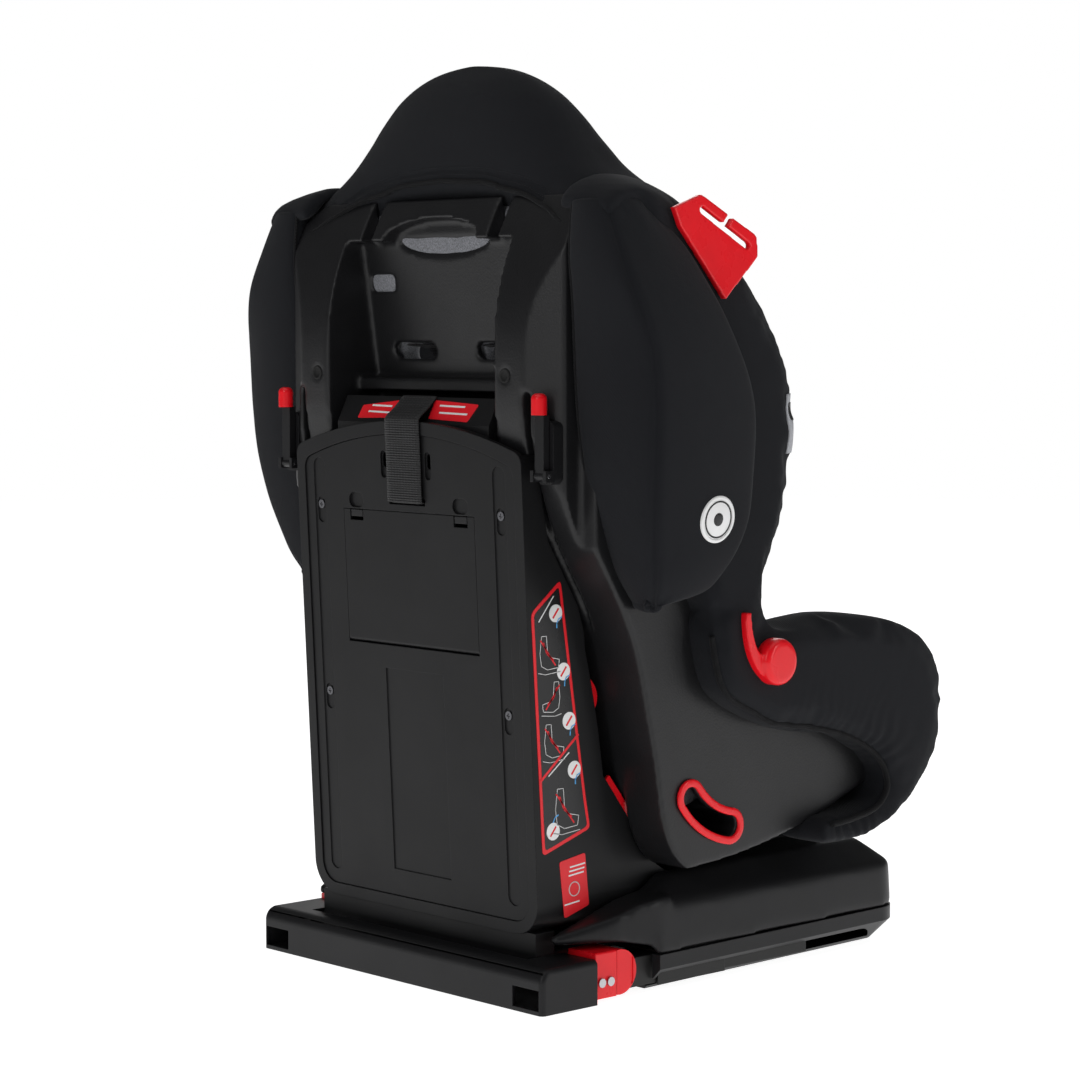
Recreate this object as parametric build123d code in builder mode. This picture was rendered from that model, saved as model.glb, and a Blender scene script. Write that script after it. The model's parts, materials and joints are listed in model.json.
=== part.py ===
"""Convertible child car seat on an ISOFIX base with a rear tower.

Millimetres, +Z up, the seat faces -Y and the child's right is -X.  The origin is on the floor,
at the middle of the whole seat's footprint.
"""
import os
from math import atan, cos, sin, sqrt

from build123d import *

os.makedirs("parts", exist_ok=True)

# ---------------------------------------------------------------- driving dimensions
DEPTH = 430.0            # guide bar's rear face to the cushion's front
REAR = DEPTH / 2         # rear face of the guide bar
CLEAR = 0.4              # gap between pieces that move past each other

# ISOFIX parts
ISOFIX_X = 140.0         # half of the standard 280 mm spacing
BAR_HALF = 157.0         # guide bar, half length
BAR_DEPTH = 53.0
BAR_HEIGHT = 32.0
BAR_WALL = 2.5
ARM_HALF = 12.0          # half width of an arm
ARM_LOW, ARM_HIGH = 6.0, 27.0

# base
BASE_REAR, BASE_FRONT = 105.0, -171.0
BASE_HALF_REAR, BASE_HALF_FRONT = 162.0, 153.0
FOOT_R, FOOT_PROUD, FOOT_HIGH = 11.0, 1.5, 3.0
FEET = [(118, 78), (-118, 78), (108, -128), (-108, -128)]
SEAM_Z = 28.0            # joint line between the tub and the cover
RIDGE_Z = 62.0           # outer ridge of the cover
DECK_Z = 80.0            # top of the cover under the seat
WALL = 3.0

# rear tower
TOWER_HALF = 125.0
TOWER_FOOT_Y = 186.0     # rear face at floor level
TOWER_SLOPE = 0.0509     # rearward lean per millimetre of height
TOWER_CORNER_Z, TOWER_APEX_Z = 386.0, 407.0
TOWER_LOW_Z = 46.0
PANEL_MARGIN = 9.0       # housing's rim around the rear panel
DOOR_HALF, DOOR_LOW, DOOR_HIGH = 72.5, 242.5, 341.0
STORE_DEPTH = 30.0
SCREW_X, SCREW_ZS = 100.0, (202.0, 343.0)
STRAP_WIDTH = 38.0

# seat shell and its recline track, an arc about a high axis
AXIS_Y, AXIS_Z = 100.0, 617.0
TRACK_R = 530.0
SHELL_HALF = 165.0       # outside of the shell's side walls
SHELL_WALL = 7.0
SHELL_TOP = 573.0
BEHIND = 260.0           # a depth behind every piece, where cuts from the rear start
PANEL_REF_Y, PANEL_REF_Z, PANEL_LEAN = 168.0, 540.0, 0.15
PANEL_THICK = 6.0
STRIP_IN, STRIP_OUT = 92.0, 121.0     # rear frame strips on each side of the window
WINDOW_LOW, WINDOW_HIGH = 437.0, 537.0

# covers and pads
ARM_COVER_HALF = 188.0
WING_HALF = 190.0
POD_HALF = 228.0
LINING_IN = 135.0        # inner face of the side linings
SOFT_GAP = 0.3           # soft pieces stand this far off their neighbours
CUSHION_HALF = 133.0


def tower_rear(z):
    """Depth of the tower's rear face at height z."""
    return TOWER_FOOT_Y + TOWER_SLOPE * z


def panel_y(z):
    """Depth of the rear face of the shell's inner back panel at height z."""
    return PANEL_REF_Y + PANEL_LEAN * (z - PANEL_REF_Z)


def track_z(y, radius=TRACK_R):
    """Height of the recline track's arc at depth y."""
    return AXIS_Z - sqrt(radius ** 2 - (y - AXIS_Y) ** 2)


TILT = atan(TOWER_SLOPE)
# the tower's rear face: local x is the seat's -X, local y runs up the face, z points rearwards
REAR_FACE = Plane(
    origin=(0, TOWER_FOOT_Y, 0), x_dir=(-1, 0, 0), z_dir=(0, cos(TILT), -sin(TILT))
)


def save(part, name):
    """Label a finished piece and write it as its own STEP file."""
    part.label = name
    export_step(part, f"parts/{name}.step")


def save_pair(part, name):
    """Write a right-hand piece (-X side) and its mirrored left-hand twin."""
    save(part, f"{name}_right")
    with BuildPart() as twin:
        mirror(part, about=Plane.YZ)
    save(twin.part, f"{name}_left")


def save_both(part, name):
    """Write a right-hand piece and its mirrored twin as one node of separate solids."""
    with BuildPart() as both:
        add(part)
        mirror(part, about=Plane.YZ)
    save(both.part, name)


def block(x, y, z):
    """Box between (low, high) pairs on each axis."""
    with BuildPart() as box:
        with Locations(((x[0] + x[1]) / 2, (y[0] + y[1]) / 2, (z[0] + z[1]) / 2)):
            Box(x[1] - x[0], y[1] - y[0], z[1] - z[0])
    return box.part


def side_slab(face_outline, x_low, x_high):
    """Solid between two X planes whose YZ outline is drawn by face_outline()."""
    with BuildPart() as slab:
        with BuildSketch(Plane.YZ.offset(x_low)):
            with BuildLine():
                face_outline()
            make_face()
        extrude(amount=x_high - x_low)
    return slab.part


def rod_x(y, z, radius, x_low, x_high):
    """Round bar along X."""
    with BuildPart() as rod:
        with BuildSketch(Plane.YZ.offset(x_low)):
            with Locations((y, z)):
                Circle(radius)
        extrude(amount=x_high - x_low)
    return rod.part


# ---------------------------------------------------------------- base
def base_plan(z, inset=0.0, front_inset=0.0, corner=26.0):
    """Plan outline of the base at height z: narrower at the front, front corners rounded."""
    with BuildSketch(Plane.XY.offset(z)) as plan:
        with BuildLine():
            Polyline(
                (BASE_HALF_REAR - inset, BASE_REAR - inset),
                (-BASE_HALF_REAR + inset, BASE_REAR - inset),
                (-BASE_HALF_FRONT + inset, BASE_FRONT + inset + front_inset),
                (BASE_HALF_FRONT - inset, BASE_FRONT + inset + front_inset),
                close=True,
            )
        make_face()
        fillet(plan.vertices().sort_by(Axis.Y)[:2], corner)
    return plan.sketch


def base_tub():
    with BuildPart() as tub:
        extrude(base_plan(FOOT_PROUD), amount=SEAM_Z - FOOT_PROUD)
        front_low = tub.edges().filter_by(Axis.X).group_by(Axis.Z)[0].sort_by(Axis.Y)[0]
        chamfer(front_low, 16)
        extrude(base_plan(FOOT_PROUD + WALL, WALL, 20), amount=SEAM_Z, mode=Mode.SUBTRACT)
        for side in (-1, 1):
            with Locations((side * ISOFIX_X, BASE_REAR, ARM_HIGH - 8)):
                Box(2 * ARM_HALF + 4, 20, 2 * (ARM_HIGH - 12), mode=Mode.SUBTRACT)
        with BuildSketch(Plane.XY):
            with Locations(*FEET):
                Circle(FOOT_R + 0.1)
        extrude(amount=FOOT_HIGH, mode=Mode.SUBTRACT)
    save(tub.part, "base_tub")

    with BuildPart() as feet:
        with BuildSketch(Plane.XY):
            with Locations(*FEET):
                Circle(FOOT_R)
        extrude(amount=FOOT_HIGH)
    save(feet.part, "base_feet")


def cover_haunch(side):
    """Rearward sweep of the cover over an ISOFIX arm, beside the tower's foot."""
    inner, outer, rear_y = TOWER_HALF + CLEAR, 160.0, 180.0
    with BuildPart() as haunch:
        with BuildSketch(Plane.YZ.offset(min(side * inner, side * outer))):
            with BuildLine():
                Polyline(
                    (rear_y, 40), (rear_y, 47), (150, 56), (118, 66), (90, 70), (90, 34),
                    (BASE_REAR, 34), (135, 40), close=True,
                )
            make_face()
        extrude(amount=outer - inner)
        with BuildSketch(Plane.XY.offset(20)):
            with BuildLine():
                Polyline(
                    (side * 120, 80), (side * outer, 80), (side * outer, BASE_REAR),
                    (side * 153, 140), (side * 133, rear_y + 1), (side * 120, rear_y + 1),
                    close=True,
                )
            make_face()
        extrude(amount=90, mode=Mode.INTERSECT)
    return haunch.part


SLOT_HALF = 22.0         # recline slider's slot through the cover and the pedestal
HANDLE_LOW = 89.0        # underside of the recline handle's stem


def base_cover():
    rise = RIDGE_Z - SEAM_Z - 0.2
    with BuildPart() as cover:
        extrude(base_plan(SEAM_Z + 0.2), amount=rise, taper=3)
        extrude(base_plan(RIDGE_Z, 2), amount=DECK_Z - RIDGE_Z, taper=55)
        extrude(base_plan(SEAM_Z, WALL + 1), amount=rise, taper=3, mode=Mode.SUBTRACT)
        extrude(base_plan(RIDGE_Z - 0.5, WALL + 5), amount=DECK_Z - RIDGE_Z - WALL, taper=55,
                mode=Mode.SUBTRACT)
        add(block((-TOWER_HALF - CLEAR, TOWER_HALF + CLEAR), (58, 230), (20, 120)),
            mode=Mode.SUBTRACT)
        add(block((-SLOT_HALF, SLOT_HALF), (-112, 48), (70, 120)), mode=Mode.SUBTRACT)
        add(cover_haunch(1))
        add(cover_haunch(-1))
        # clearance over the ISOFIX arms
        for side in (-1, 1):
            with Locations((side * ISOFIX_X, BASE_REAR, 28)):
                Box(2 * ARM_HALF + 4, 16, 12, mode=Mode.SUBTRACT)
    save(cover.part, "base_cover")
    return cover.part


def base_pedestal(cover):
    """Two curved rails on the cover that carry the seat's front, with a front wall between."""
    front_y, rear_y, half = -150.0, -62.0, 92.0
    rail = TRACK_R + 2.0

    def outline():
        Line((front_y, RIDGE_Z + 4), (front_y, track_z(front_y, rail)))
        RadiusArc((front_y, track_z(front_y, rail)), (rear_y, track_z(rear_y, rail)), -rail)
        Line((rear_y, track_z(rear_y, rail)), (rear_y, RIDGE_Z + 4))
        Line((rear_y, RIDGE_Z + 4), (front_y, RIDGE_Z + 4))

    with BuildPart() as pedestal:
        add(side_slab(outline, -half, half))
        add(block((-half + 5, half - 5), (front_y + 5, rear_y + 20), (DECK_Z, 200)),
            mode=Mode.SUBTRACT)
        add(block((-SLOT_HALF, SLOT_HALF), (front_y + 2, rear_y + 20), (DECK_Z, 200)),
            mode=Mode.SUBTRACT)
        add(cover, mode=Mode.SUBTRACT)
        add(block((-200, 200), (-300, 300), (0, DECK_Z - WALL)), mode=Mode.SUBTRACT)
        add(block((-7.5, 7.5), (front_y - 5, front_y + 10), (HANDLE_LOW - 0.5, HANDLE_LOW + 6.5)),
            mode=Mode.SUBTRACT)
    save(pedestal.part, "base_pedestal")


# ---------------------------------------------------------------- rear tower
def tower_side(inset=0.0, reach=0.0):
    """Side outline of the tower; inset pulls in the rear face, reach pushes the front out."""
    top = 430.0
    rear = [(tower_rear(top) - inset, top), (tower_rear(0) - inset, 0)]
    front = [
        (60 - reach, 0), (60 - reach, 77), (74 - reach, 86), (89 - reach, 106),
        (113 - reach, 138), (126 - reach, 155), (131 - reach, 188), (137 - reach, 218),
        (144 - reach, 247), (145 - reach, 259), (151 - reach, 278), (162 - reach, 296),
        (180 - reach, 326), (186 - reach, 360), (193 - reach, top),
    ]
    Polyline(*rear, *front, close=True)


def tower_back(plane, inset=0.0):
    """Outline of the tower seen from behind, on an upright plane: arched top, rounded bottom."""
    half = TOWER_HALF - inset
    low, corner, apex = TOWER_LOW_Z + inset, TOWER_CORNER_Z - inset, TOWER_APEX_Z - inset
    with BuildSketch(plane) as back:
        with BuildLine():
            Polyline((-half, corner), (-half, low), (half, low), (half, corner))
            ThreePointArc((half, corner), (0, apex), (-half, corner))
        make_face()
        fillet(back.vertices().group_by(Axis.Y)[0], 25 - inset)
        fillet(back.vertices().group_by(Axis.Y)[-1], 10)
    return back.sketch


def tower_block(inset=0.0, reach=0.0):
    """Solid of the tower's outer shape, or of its hollow when inset."""
    with BuildPart() as body:
        add(side_slab(lambda: tower_side(inset, reach), -TOWER_HALF + inset, TOWER_HALF - inset))
        extrude(tower_back(Plane.XZ.offset(-REAR), inset), amount=REAR + 60, mode=Mode.INTERSECT)
    return body.part


PANEL_SUNK, PANEL_PLATE = 1.0, 2.8


def tower_housing():
    foot_half, foot_rear, foot_front = 119.0, 186.0, 168.0
    pocket = PANEL_SUNK + PANEL_PLATE + 0.2
    with BuildPart() as housing:
        add(tower_block())
        add(tower_block(WALL, 60), mode=Mode.SUBTRACT)
        # a rim stands in from the rear wall, so that the panel's pocket has a floor
        add(panel_rim(pocket))
        extrude(tower_back(REAR_FACE.offset(5), PANEL_MARGIN), amount=-5 - pocket, mode=Mode.SUBTRACT)
        extrude(tower_back(REAR_FACE, PANEL_MARGIN + 5), amount=-20, mode=Mode.SUBTRACT)
        # the seat's frame strips drop in behind the top rim
        for side in (-1, 1):
            low, high = sorted((side * 86.0, side * (TOWER_HALF - WALL)))
            add(block((low, high), (150, 201.5), (340, 430)), mode=Mode.SUBTRACT)
        add(block((-87, 87), (150, 199), (386, 430)), mode=Mode.SUBTRACT)
        # foot plate that reaches down into the guide bar, and its shelf on the base
        add(block((-foot_half, foot_half), (foot_front, foot_rear), (9, TOWER_LOW_Z + 2)))
        add(block((-foot_half, foot_half), (62, foot_front + 2), (SEAM_Z + 1, SEAM_Z + 5)))
    save(housing.part, "tower_housing")


def panel_rim(pocket):
    """Ledge round the inside of the tower's rear wall."""
    with BuildPart() as rim:
        extrude(tower_back(REAR_FACE.offset(-2), WALL - 0.5), amount=-pocket)
    return rim.part


PIN_R, KNUCKLE_R = 1.5, 3.0
PIN_Z, PIN_DEPTH = DOOR_LOW + KNUCKLE_R, PANEL_SUNK + KNUCKLE_R
PIN_Y = tower_rear(PIN_Z) - PIN_DEPTH
LATCH_X, LATCH_HALF, LATCH_HIGH = 58.0, 7.5, 8.0
LATCH_TRAVEL = 2.0


def door_outline(depth, grow=0.0):
    """Door outline on the tower's rear face, sunk by depth and grown on every side."""
    with BuildSketch(REAR_FACE.offset(-depth)) as door:
        with Locations((0, (DOOR_LOW + DOOR_HIGH) / 2)):
            Rectangle(2 * (DOOR_HALF + grow), DOOR_HIGH - DOOR_LOW + 2 * grow)
    return door.sketch


CHANNEL_LONG, CHANNEL_MID, CHANNEL_WIDE, CHANNEL_DEEP = 312.0, 222.0, 13.0, 0.8
STRAP_SLOT_X, STRAP_SLOT_Z = 24.6, 378.5
WELL_DEEP = 1.8
HEAD_HIGH, HEAD_R = 1.1, 3.3


def tower_panel():
    """Rear panel with the storage box, door opening, moulded relief and screw wells."""
    screws = [(x, z) for x in (-SCREW_X, SCREW_X) for z in SCREW_ZS]
    with BuildPart() as panel:
        extrude(tower_back(REAR_FACE.offset(-PANEL_SUNK), PANEL_MARGIN + 0.3), amount=-PANEL_PLATE)
        extrude(door_outline(PANEL_SUNK + 1, 2.5), amount=-STORE_DEPTH)
        extrude(door_outline(-5, CLEAR), amount=-STORE_DEPTH - 4, mode=Mode.SUBTRACT)
        with BuildSketch(REAR_FACE.offset(-PANEL_SUNK)):
            with Locations((SCREW_X, CHANNEL_MID), (-SCREW_X, CHANNEL_MID)):
                SlotOverall(CHANNEL_LONG, CHANNEL_WIDE, rotation=90)
            with Locations((0, 150)):
                Rectangle(64, 150)
        extrude(amount=-CHANNEL_DEEP, mode=Mode.SUBTRACT)
        # wells round the screws, ramps below the strap slots, notches over the latches
        with BuildSketch(REAR_FACE.offset(-PANEL_SUNK)):
            with Locations(*[(x, z - 4) for x, z in screws]):
                SlotOverall(19, 8.5, rotation=90)
            with Locations((-STRAP_SLOT_X, STRAP_SLOT_Z - 3), (STRAP_SLOT_X, STRAP_SLOT_Z - 3)):
                SlotOverall(20, 6.5, rotation=90)
            with Locations((-LATCH_X, DOOR_HIGH + 7), (LATCH_X, DOOR_HIGH + 7)):
                RectangleRounded(16, 11, 5)
        extrude(amount=-WELL_DEEP, mode=Mode.SUBTRACT)
        with BuildSketch(REAR_FACE.offset(-PANEL_SUNK)):
            with Locations(*screws):
                Circle(2.1)
            with Locations((-STRAP_SLOT_X, STRAP_SLOT_Z), (STRAP_SLOT_X, STRAP_SLOT_Z)):
                SlotOverall(11, 5.2, rotation=90)
            with Locations((0, DOOR_HIGH + 8)):
                Rectangle(STRAP_WIDTH + 2, 5)
        extrude(amount=-PANEL_PLATE - 1, mode=Mode.SUBTRACT)
        add(rod_x(PIN_Y, PIN_Z, PIN_R + 0.02, -DOOR_HALF - 2.1, DOOR_HALF + 2.1), mode=Mode.SUBTRACT)
    save(panel.part, "tower_panel")

    with BuildPart() as heads:
        seat = REAR_FACE.offset(-PANEL_SUNK - WELL_DEEP)
        with BuildSketch(seat):
            with Locations(*screws):
                Circle(HEAD_R)
        extrude(amount=HEAD_HIGH)
        with BuildSketch(seat):
            with Locations(*screws):
                Circle(2.0)
        extrude(amount=-3.0)
        with BuildSketch(seat.offset(HEAD_HIGH)):
            with Locations(*screws):
                Rectangle(3.6, 0.9)
                Rectangle(0.9, 3.6)
        extrude(amount=-0.7, mode=Mode.SUBTRACT)
    save(heads.part, "panel_screws")


def storage_door():
    """Door over the tether store: hinged on a pin along its lower edge, two finger latches."""
    leaf = 2.4
    latch_z = DOOR_HIGH - LATCH_HIGH / 2
    with BuildPart() as door:
        extrude(door_outline(PANEL_SUNK), amount=-leaf)
        # the leaf starts at the knuckle's centre, so its lower edge turns clear of the panel
        with BuildSketch(REAR_FACE):
            with Locations((0, PIN_Z - 10)):
                Rectangle(3 * DOOR_HALF, 20)
        extrude(amount=-10, mode=Mode.SUBTRACT)
        with BuildSketch(Plane.YZ.offset(-DOOR_HALF)):
            with Locations((PIN_Y, PIN_Z)):
                Circle(KNUCKLE_R)
        extrude(amount=2 * DOOR_HALF)
        add(rod_x(PIN_Y, PIN_Z, PIN_R + 0.05, -DOOR_HALF, DOOR_HALF), mode=Mode.SUBTRACT)
        with BuildSketch(REAR_FACE.offset(-PANEL_SUNK)):
            with Locations((-LATCH_X, latch_z), (LATCH_X, latch_z)):
                Rectangle(2 * LATCH_HALF, LATCH_HIGH)
        extrude(amount=-leaf, mode=Mode.SUBTRACT)
    save(door.part, "storage_door")
    save(rod_x(PIN_Y, PIN_Z, PIN_R, -DOOR_HALF - 2, DOOR_HALF + 2), "door_hinge_pin")

    latch_high = LATCH_HIGH - LATCH_TRAVEL - 1
    with BuildPart() as latches:
        with BuildSketch(REAR_FACE.offset(-PANEL_SUNK - 0.2)):
            with Locations(*[(x, DOOR_HIGH - 0.3 - latch_high / 2) for x in (-LATCH_X, LATCH_X)]):
                Rectangle(2 * LATCH_HALF - 2, latch_high)
        extrude(amount=-8)
    save(latches.part, "door_latches")


HOOD_HALF = 84.0
HOOD_TOP_Y, HOOD_TOP_Z = 185.0, 424.0
HOOD_LOW_Z = TOWER_APEX_Z - 4.0


def tower_hood():
    """Sloping top of the tower between the seat's frame strips."""
    rear_y = tower_rear(HOOD_LOW_Z) - WALL - 5

    def outline():
        Polyline(
            (rear_y, HOOD_LOW_Z - 14), (rear_y, HOOD_LOW_Z + 2), (HOOD_TOP_Y + 4, HOOD_TOP_Z),
            (HOOD_TOP_Y - 2, HOOD_TOP_Z - 1), (HOOD_TOP_Y - 2, HOOD_TOP_Z - 5),
            (rear_y - 5, HOOD_LOW_Z - 3), (rear_y - 5, HOOD_LOW_Z - 14), close=True,
        )

    save(side_slab(outline, -HOOD_HALF, HOOD_HALF), "tower_hood")


def tower_frame():
    """Steel hoop that stiffens the tower."""
    leg_x, low, high, bend, depth = 83.0, 50.0, 368.0, 22.0, 17.0
    plane = REAR_FACE.offset(-depth)
    with BuildPart() as frame:
        with BuildLine(plane):
            FilletPolyline((-leg_x, low), (-leg_x, high), (leg_x, high), (leg_x, low), radius=bend)
        with BuildSketch(Plane(origin=plane.from_local_coords((-leg_x, low, 0)),
                               z_dir=REAR_FACE.y_dir)):
            Circle(6.0)
        sweep()
    save(frame.part, "tower_frame")


def tether():
    """Top tether: webbing over the hood, with its hook and adjuster kept in the store."""
    half, thick = STRAP_WIDTH / 2, 1.4
    low_z = DOOR_HIGH + 8
    low_y = tower_rear(low_z) + 0.3
    rim_y, rim_z = tower_rear(TOWER_APEX_Z) + 0.4, TOWER_APEX_Z + 0.4
    top_y, top_z = HOOD_TOP_Y + 4, HOOD_TOP_Z + 0.5

    def outline():
        Polyline(
            (low_y - 6, low_z), (low_y, low_z), (rim_y, rim_z), (top_y, top_z),
            (top_y, top_z + thick), (rim_y + thick, rim_z + thick / 2), (low_y + thick, low_z),
            (low_y + thick, low_z - 1.6), (low_y - 6, low_z - 1.6), close=True,
        )

    save(side_slab(outline, -half, half), "tether_strap")

    store_mid = (DOOR_LOW + DOOR_HIGH) / 2
    with BuildPart() as hook:
        with BuildSketch(REAR_FACE.offset(-14)):
            with Locations((30, store_mid)):
                SlotOverall(60, 24, rotation=90)
                SlotOverall(44, 11, rotation=90, mode=Mode.SUBTRACT)
            with Locations((40, store_mid + 4)):
                Rectangle(12, 8, mode=Mode.SUBTRACT)
        extrude(amount=-4)
    save(hook.part, "tether_hook")

    with BuildPart() as adjuster:
        with BuildSketch(REAR_FACE.offset(-12)):
            with Locations((-30, store_mid)):
                RectangleRounded(52, 40, 4)
            with Locations((-30, store_mid + 9), (-30, store_mid - 9)):
                Rectangle(STRAP_WIDTH + 2, 6, mode=Mode.SUBTRACT)
        extrude(amount=-6)
    save(adjuster.part, "tether_adjuster")


def belt_guides():
    """Guides on the tower's inside walls that lead the vehicle belt behind the seat."""
    inner_wall = -TOWER_HALF + WALL + 0.2
    with BuildPart() as guides:
        with BuildSketch(Plane.YZ.offset(inner_wall)):
            with BuildLine():
                Spline((150, 232), (137, 226), (129, 212), (134, 200), (150, 204))
                Line((150, 204), (150, 232))
            make_face()
        extrude(amount=16)
        with BuildSketch(Plane.YZ.offset(inner_wall + 5)):
            with Locations((134, 215)):
                SlotOverall(18, 6, rotation=70)
        extrude(amount=20, mode=Mode.SUBTRACT)
        with BuildSketch(Plane.YZ.offset(inner_wall)):
            with BuildLine():
                Polyline((123, 152), (112.6, 138.3), (88.5, 106.3), (84, 100), (80.5, 101),
                         (84.5, 108), (108.8, 141), (119.5, 154.5), close=True)
            make_face()
        extrude(amount=-WALL + 0.2)
    save_both(guides.part, "belt_guides")


# ---------------------------------------------------------------- ISOFIX parts
ARM_REAR, ARM_FRONT = 192.0, -60.0
CASE_REAR, CASE_FRONT, CASE_HIGH = 161.0, 140.5, 36.0
SLIDER_FRONT = 121.0
HOOK_Y, HOOK_Z = 184.0, 17.0
TRACK_FRONT, TRACK_REAR = 30.0, 99.0      # clear of the cross tube's travel


def isofix_parts():
    outer = -ISOFIX_X - ARM_HALF
    with BuildPart() as arm:
        add(block((outer, outer + 2 * ARM_HALF), (ARM_FRONT, ARM_REAR), (ARM_LOW, ARM_HIGH)))
        # slot for the hook, and the mouth that the car's anchor bar enters
        add(block((-ISOFIX_X - 4, -ISOFIX_X + 4), (150, ARM_REAR + 1), (ARM_LOW - 1, ARM_HIGH + 1)),
            mode=Mode.SUBTRACT)
        with BuildSketch(Plane.YZ.offset(outer)):
            with Locations((ARM_REAR - 4, 11)):
                SlotOverall(22, 7.5)
        extrude(amount=2 * ARM_HALF, mode=Mode.SUBTRACT)
        add(rod_x(HOOK_Y - 22, HOOK_Z + 4, 2.6, outer, -ISOFIX_X + ARM_HALF), mode=Mode.SUBTRACT)
    save_pair(arm.part, "isofix_arm")

    with BuildPart() as case:
        add(block((outer - 2, outer + 2 * ARM_HALF + 2), (CASE_FRONT, CASE_REAR), (3, CASE_HIGH)))
        add(block((outer - 0.1, outer + 2 * ARM_HALF + 0.1), (0, 300), (ARM_LOW - 0.1, ARM_HIGH + 0.1)),
            mode=Mode.SUBTRACT)
        fillet(case.edges().filter_by(Axis.Y).group_by(Axis.Z)[-1], 1.5)
    save_both(case.part, "isofix_cases")

    with BuildPart() as slider:
        mid = (3 + CASE_HIGH) / 2
        radius = (CASE_HIGH - 3) / 2 - 0.3
        with BuildSketch(Plane.YZ.offset(outer - 2)):
            with Locations((SLIDER_FRONT + radius, mid)):
                Circle(radius)
        extrude(amount=2 * ARM_HALF + 4)
        add(block((outer - 5, outer + 40), (CASE_FRONT - CLEAR, 200), (0, 60)), mode=Mode.SUBTRACT)
        add(block((outer - CLEAR, outer + 2 * ARM_HALF + CLEAR), (0, 300),
                  (ARM_LOW - CLEAR, ARM_HIGH + CLEAR)), mode=Mode.SUBTRACT)
        # finger groove on the outside
        with BuildSketch(Plane.YZ.offset(outer - 2.1)):
            with Locations((SLIDER_FRONT + 4.5, mid)):
                SlotOverall(20, 3, rotation=90)
        extrude(amount=0.9, mode=Mode.SUBTRACT)
    save_pair(slider.part, "isofix_release")

    # hook: turns on the rear pivot inside the arm and closes over the anchor bar
    with BuildPart() as hook:
        with BuildSketch(Plane.YZ.offset(-ISOFIX_X - 2.5)):
            with BuildLine():
                Polyline((156, 17.5), (172, 17.5), (189, 16.2), (190.5, 8.2), (187.5, 8.2),
                         (186, 14), (178, 14.9), (156, 14.9), close=True)
            make_face()
            with Locations((HOOK_Y - 22, HOOK_Z + 4)):
                Circle(5.0)
        extrude(amount=5)
        add(rod_x(HOOK_Y - 22, HOOK_Z + 4, 2.63, -160, -120), mode=Mode.SUBTRACT)
    save_pair(hook.part, "isofix_hook")

    with BuildPart() as rivets:
        for side in (-1, 1):
            low, high = sorted((side * (ISOFIX_X - ARM_HALF), side * (ISOFIX_X + ARM_HALF)))
            add(rod_x(HOOK_Y - 22, HOOK_Z + 4, 2.56, low, high))
            for y in (147.0, 155.5):
                face = side * (ISOFIX_X + ARM_HALF + 2)
                inner, outer_head = sorted((face, face + side * 1.6))
                add(rod_x(y, 14.5, 3.3, inner, outer_head))
    save(rivets.part, "isofix_rivets")

    with BuildPart() as tube:
        add(rod_x(ARM_FRONT + 14, (ARM_LOW + ARM_HIGH) / 2, 8.0, -ISOFIX_X + ARM_HALF,
                  ISOFIX_X - ARM_HALF))
    save(tube.part, "isofix_cross_tube")

    with BuildPart() as tracks:
        for side in (-1, 1):
            low, high = side * ISOFIX_X - ARM_HALF, side * ISOFIX_X + ARM_HALF
            gap, plate = 0.4, 1.5
            for wall in (low - gap - plate, high + gap):
                add(block((wall, wall + plate), (TRACK_FRONT, TRACK_REAR),
                          (FOOT_PROUD + WALL + 0.1, SEAM_Z - 1)))
        for side in (-1, 1):
            mid = side * ISOFIX_X
            span = ARM_HALF + 0.4 + 1.5
            add(block((mid - span, mid + span), (TRACK_FRONT, TRACK_REAR), (SEAM_Z - 0.4, SEAM_Z + 1.2)))
            for wall in (-1, 1):
                edge = mid + wall * (span - 0.75)
                add(block((edge - 0.75, edge + 0.75), (TRACK_FRONT, TRACK_REAR), (SEAM_Z - 1.2, SEAM_Z)))
    save(tracks.part, "isofix_tracks")


def guide_bar():
    """Wide cover over both connectors, with a window for each anchor bar."""
    notch_half, notch_y = 121.5, 196.0
    front = REAR - BAR_DEPTH
    with BuildPart() as bar:
        add(block((-BAR_HALF, BAR_HALF), (front, REAR), (0, BAR_HEIGHT)))
        fillet(bar.edges().filter_by(Axis.X).group_by(Axis.Z)[-1].sort_by(Axis.Y)[-1], 10)
        fillet(bar.edges().filter_by(Axis.Z).group_by(Axis.Y)[-1], 4)
        add(block((-BAR_HALF + BAR_WALL, BAR_HALF - BAR_WALL), (front - 1, REAR - BAR_WALL),
                  (BAR_WALL, BAR_HEIGHT - BAR_WALL)), mode=Mode.SUBTRACT)
        add(block((-notch_half, notch_half), (front - 1, notch_y), (8, BAR_HEIGHT + 1)),
            mode=Mode.SUBTRACT)
        for side in (-1, 1):
            add(block((side * ISOFIX_X - 13.5, side * ISOFIX_X + 13.5), (190, REAR + 1), (3, 17.5)),
                mode=Mode.SUBTRACT)
    save(bar.part, "guide_bar")


# ---------------------------------------------------------------- seat shell
def pan_z(y):
    """Height of the shell's seat pan at depth y."""
    return 112 + 0.1935 * (98 - y)


def shell_side():
    """Side outline of the shell: track arc below, S-shaped back, wing and arm in front."""
    low_rear, low_front = 80.0, -112.0
    RadiusArc((low_front, track_z(low_front)), (low_rear, track_z(low_rear)), -TRACK_R)
    Spline(
        (low_rear, track_z(low_rear)), (99, 108), (110, 155), (119, 196), (133, 250), (158, 298),
        (177, 330), (192, 372), (200, 410), (202, 445), (199, 490), (184, 537), (164, SHELL_TOP),
    )
    Line((164, SHELL_TOP), (122, SHELL_TOP))
    Spline((122, SHELL_TOP), (60, 512), (20, 465), (5, 425), (3, 380), (14, 330), (42, 285))
    Spline((42, 285), (20, 262), (-30, 262), (-100, 252), (-145, 232), (-164, 200), (-158, 162),
           (-135, 143), (low_front, track_z(low_front)))


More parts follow.
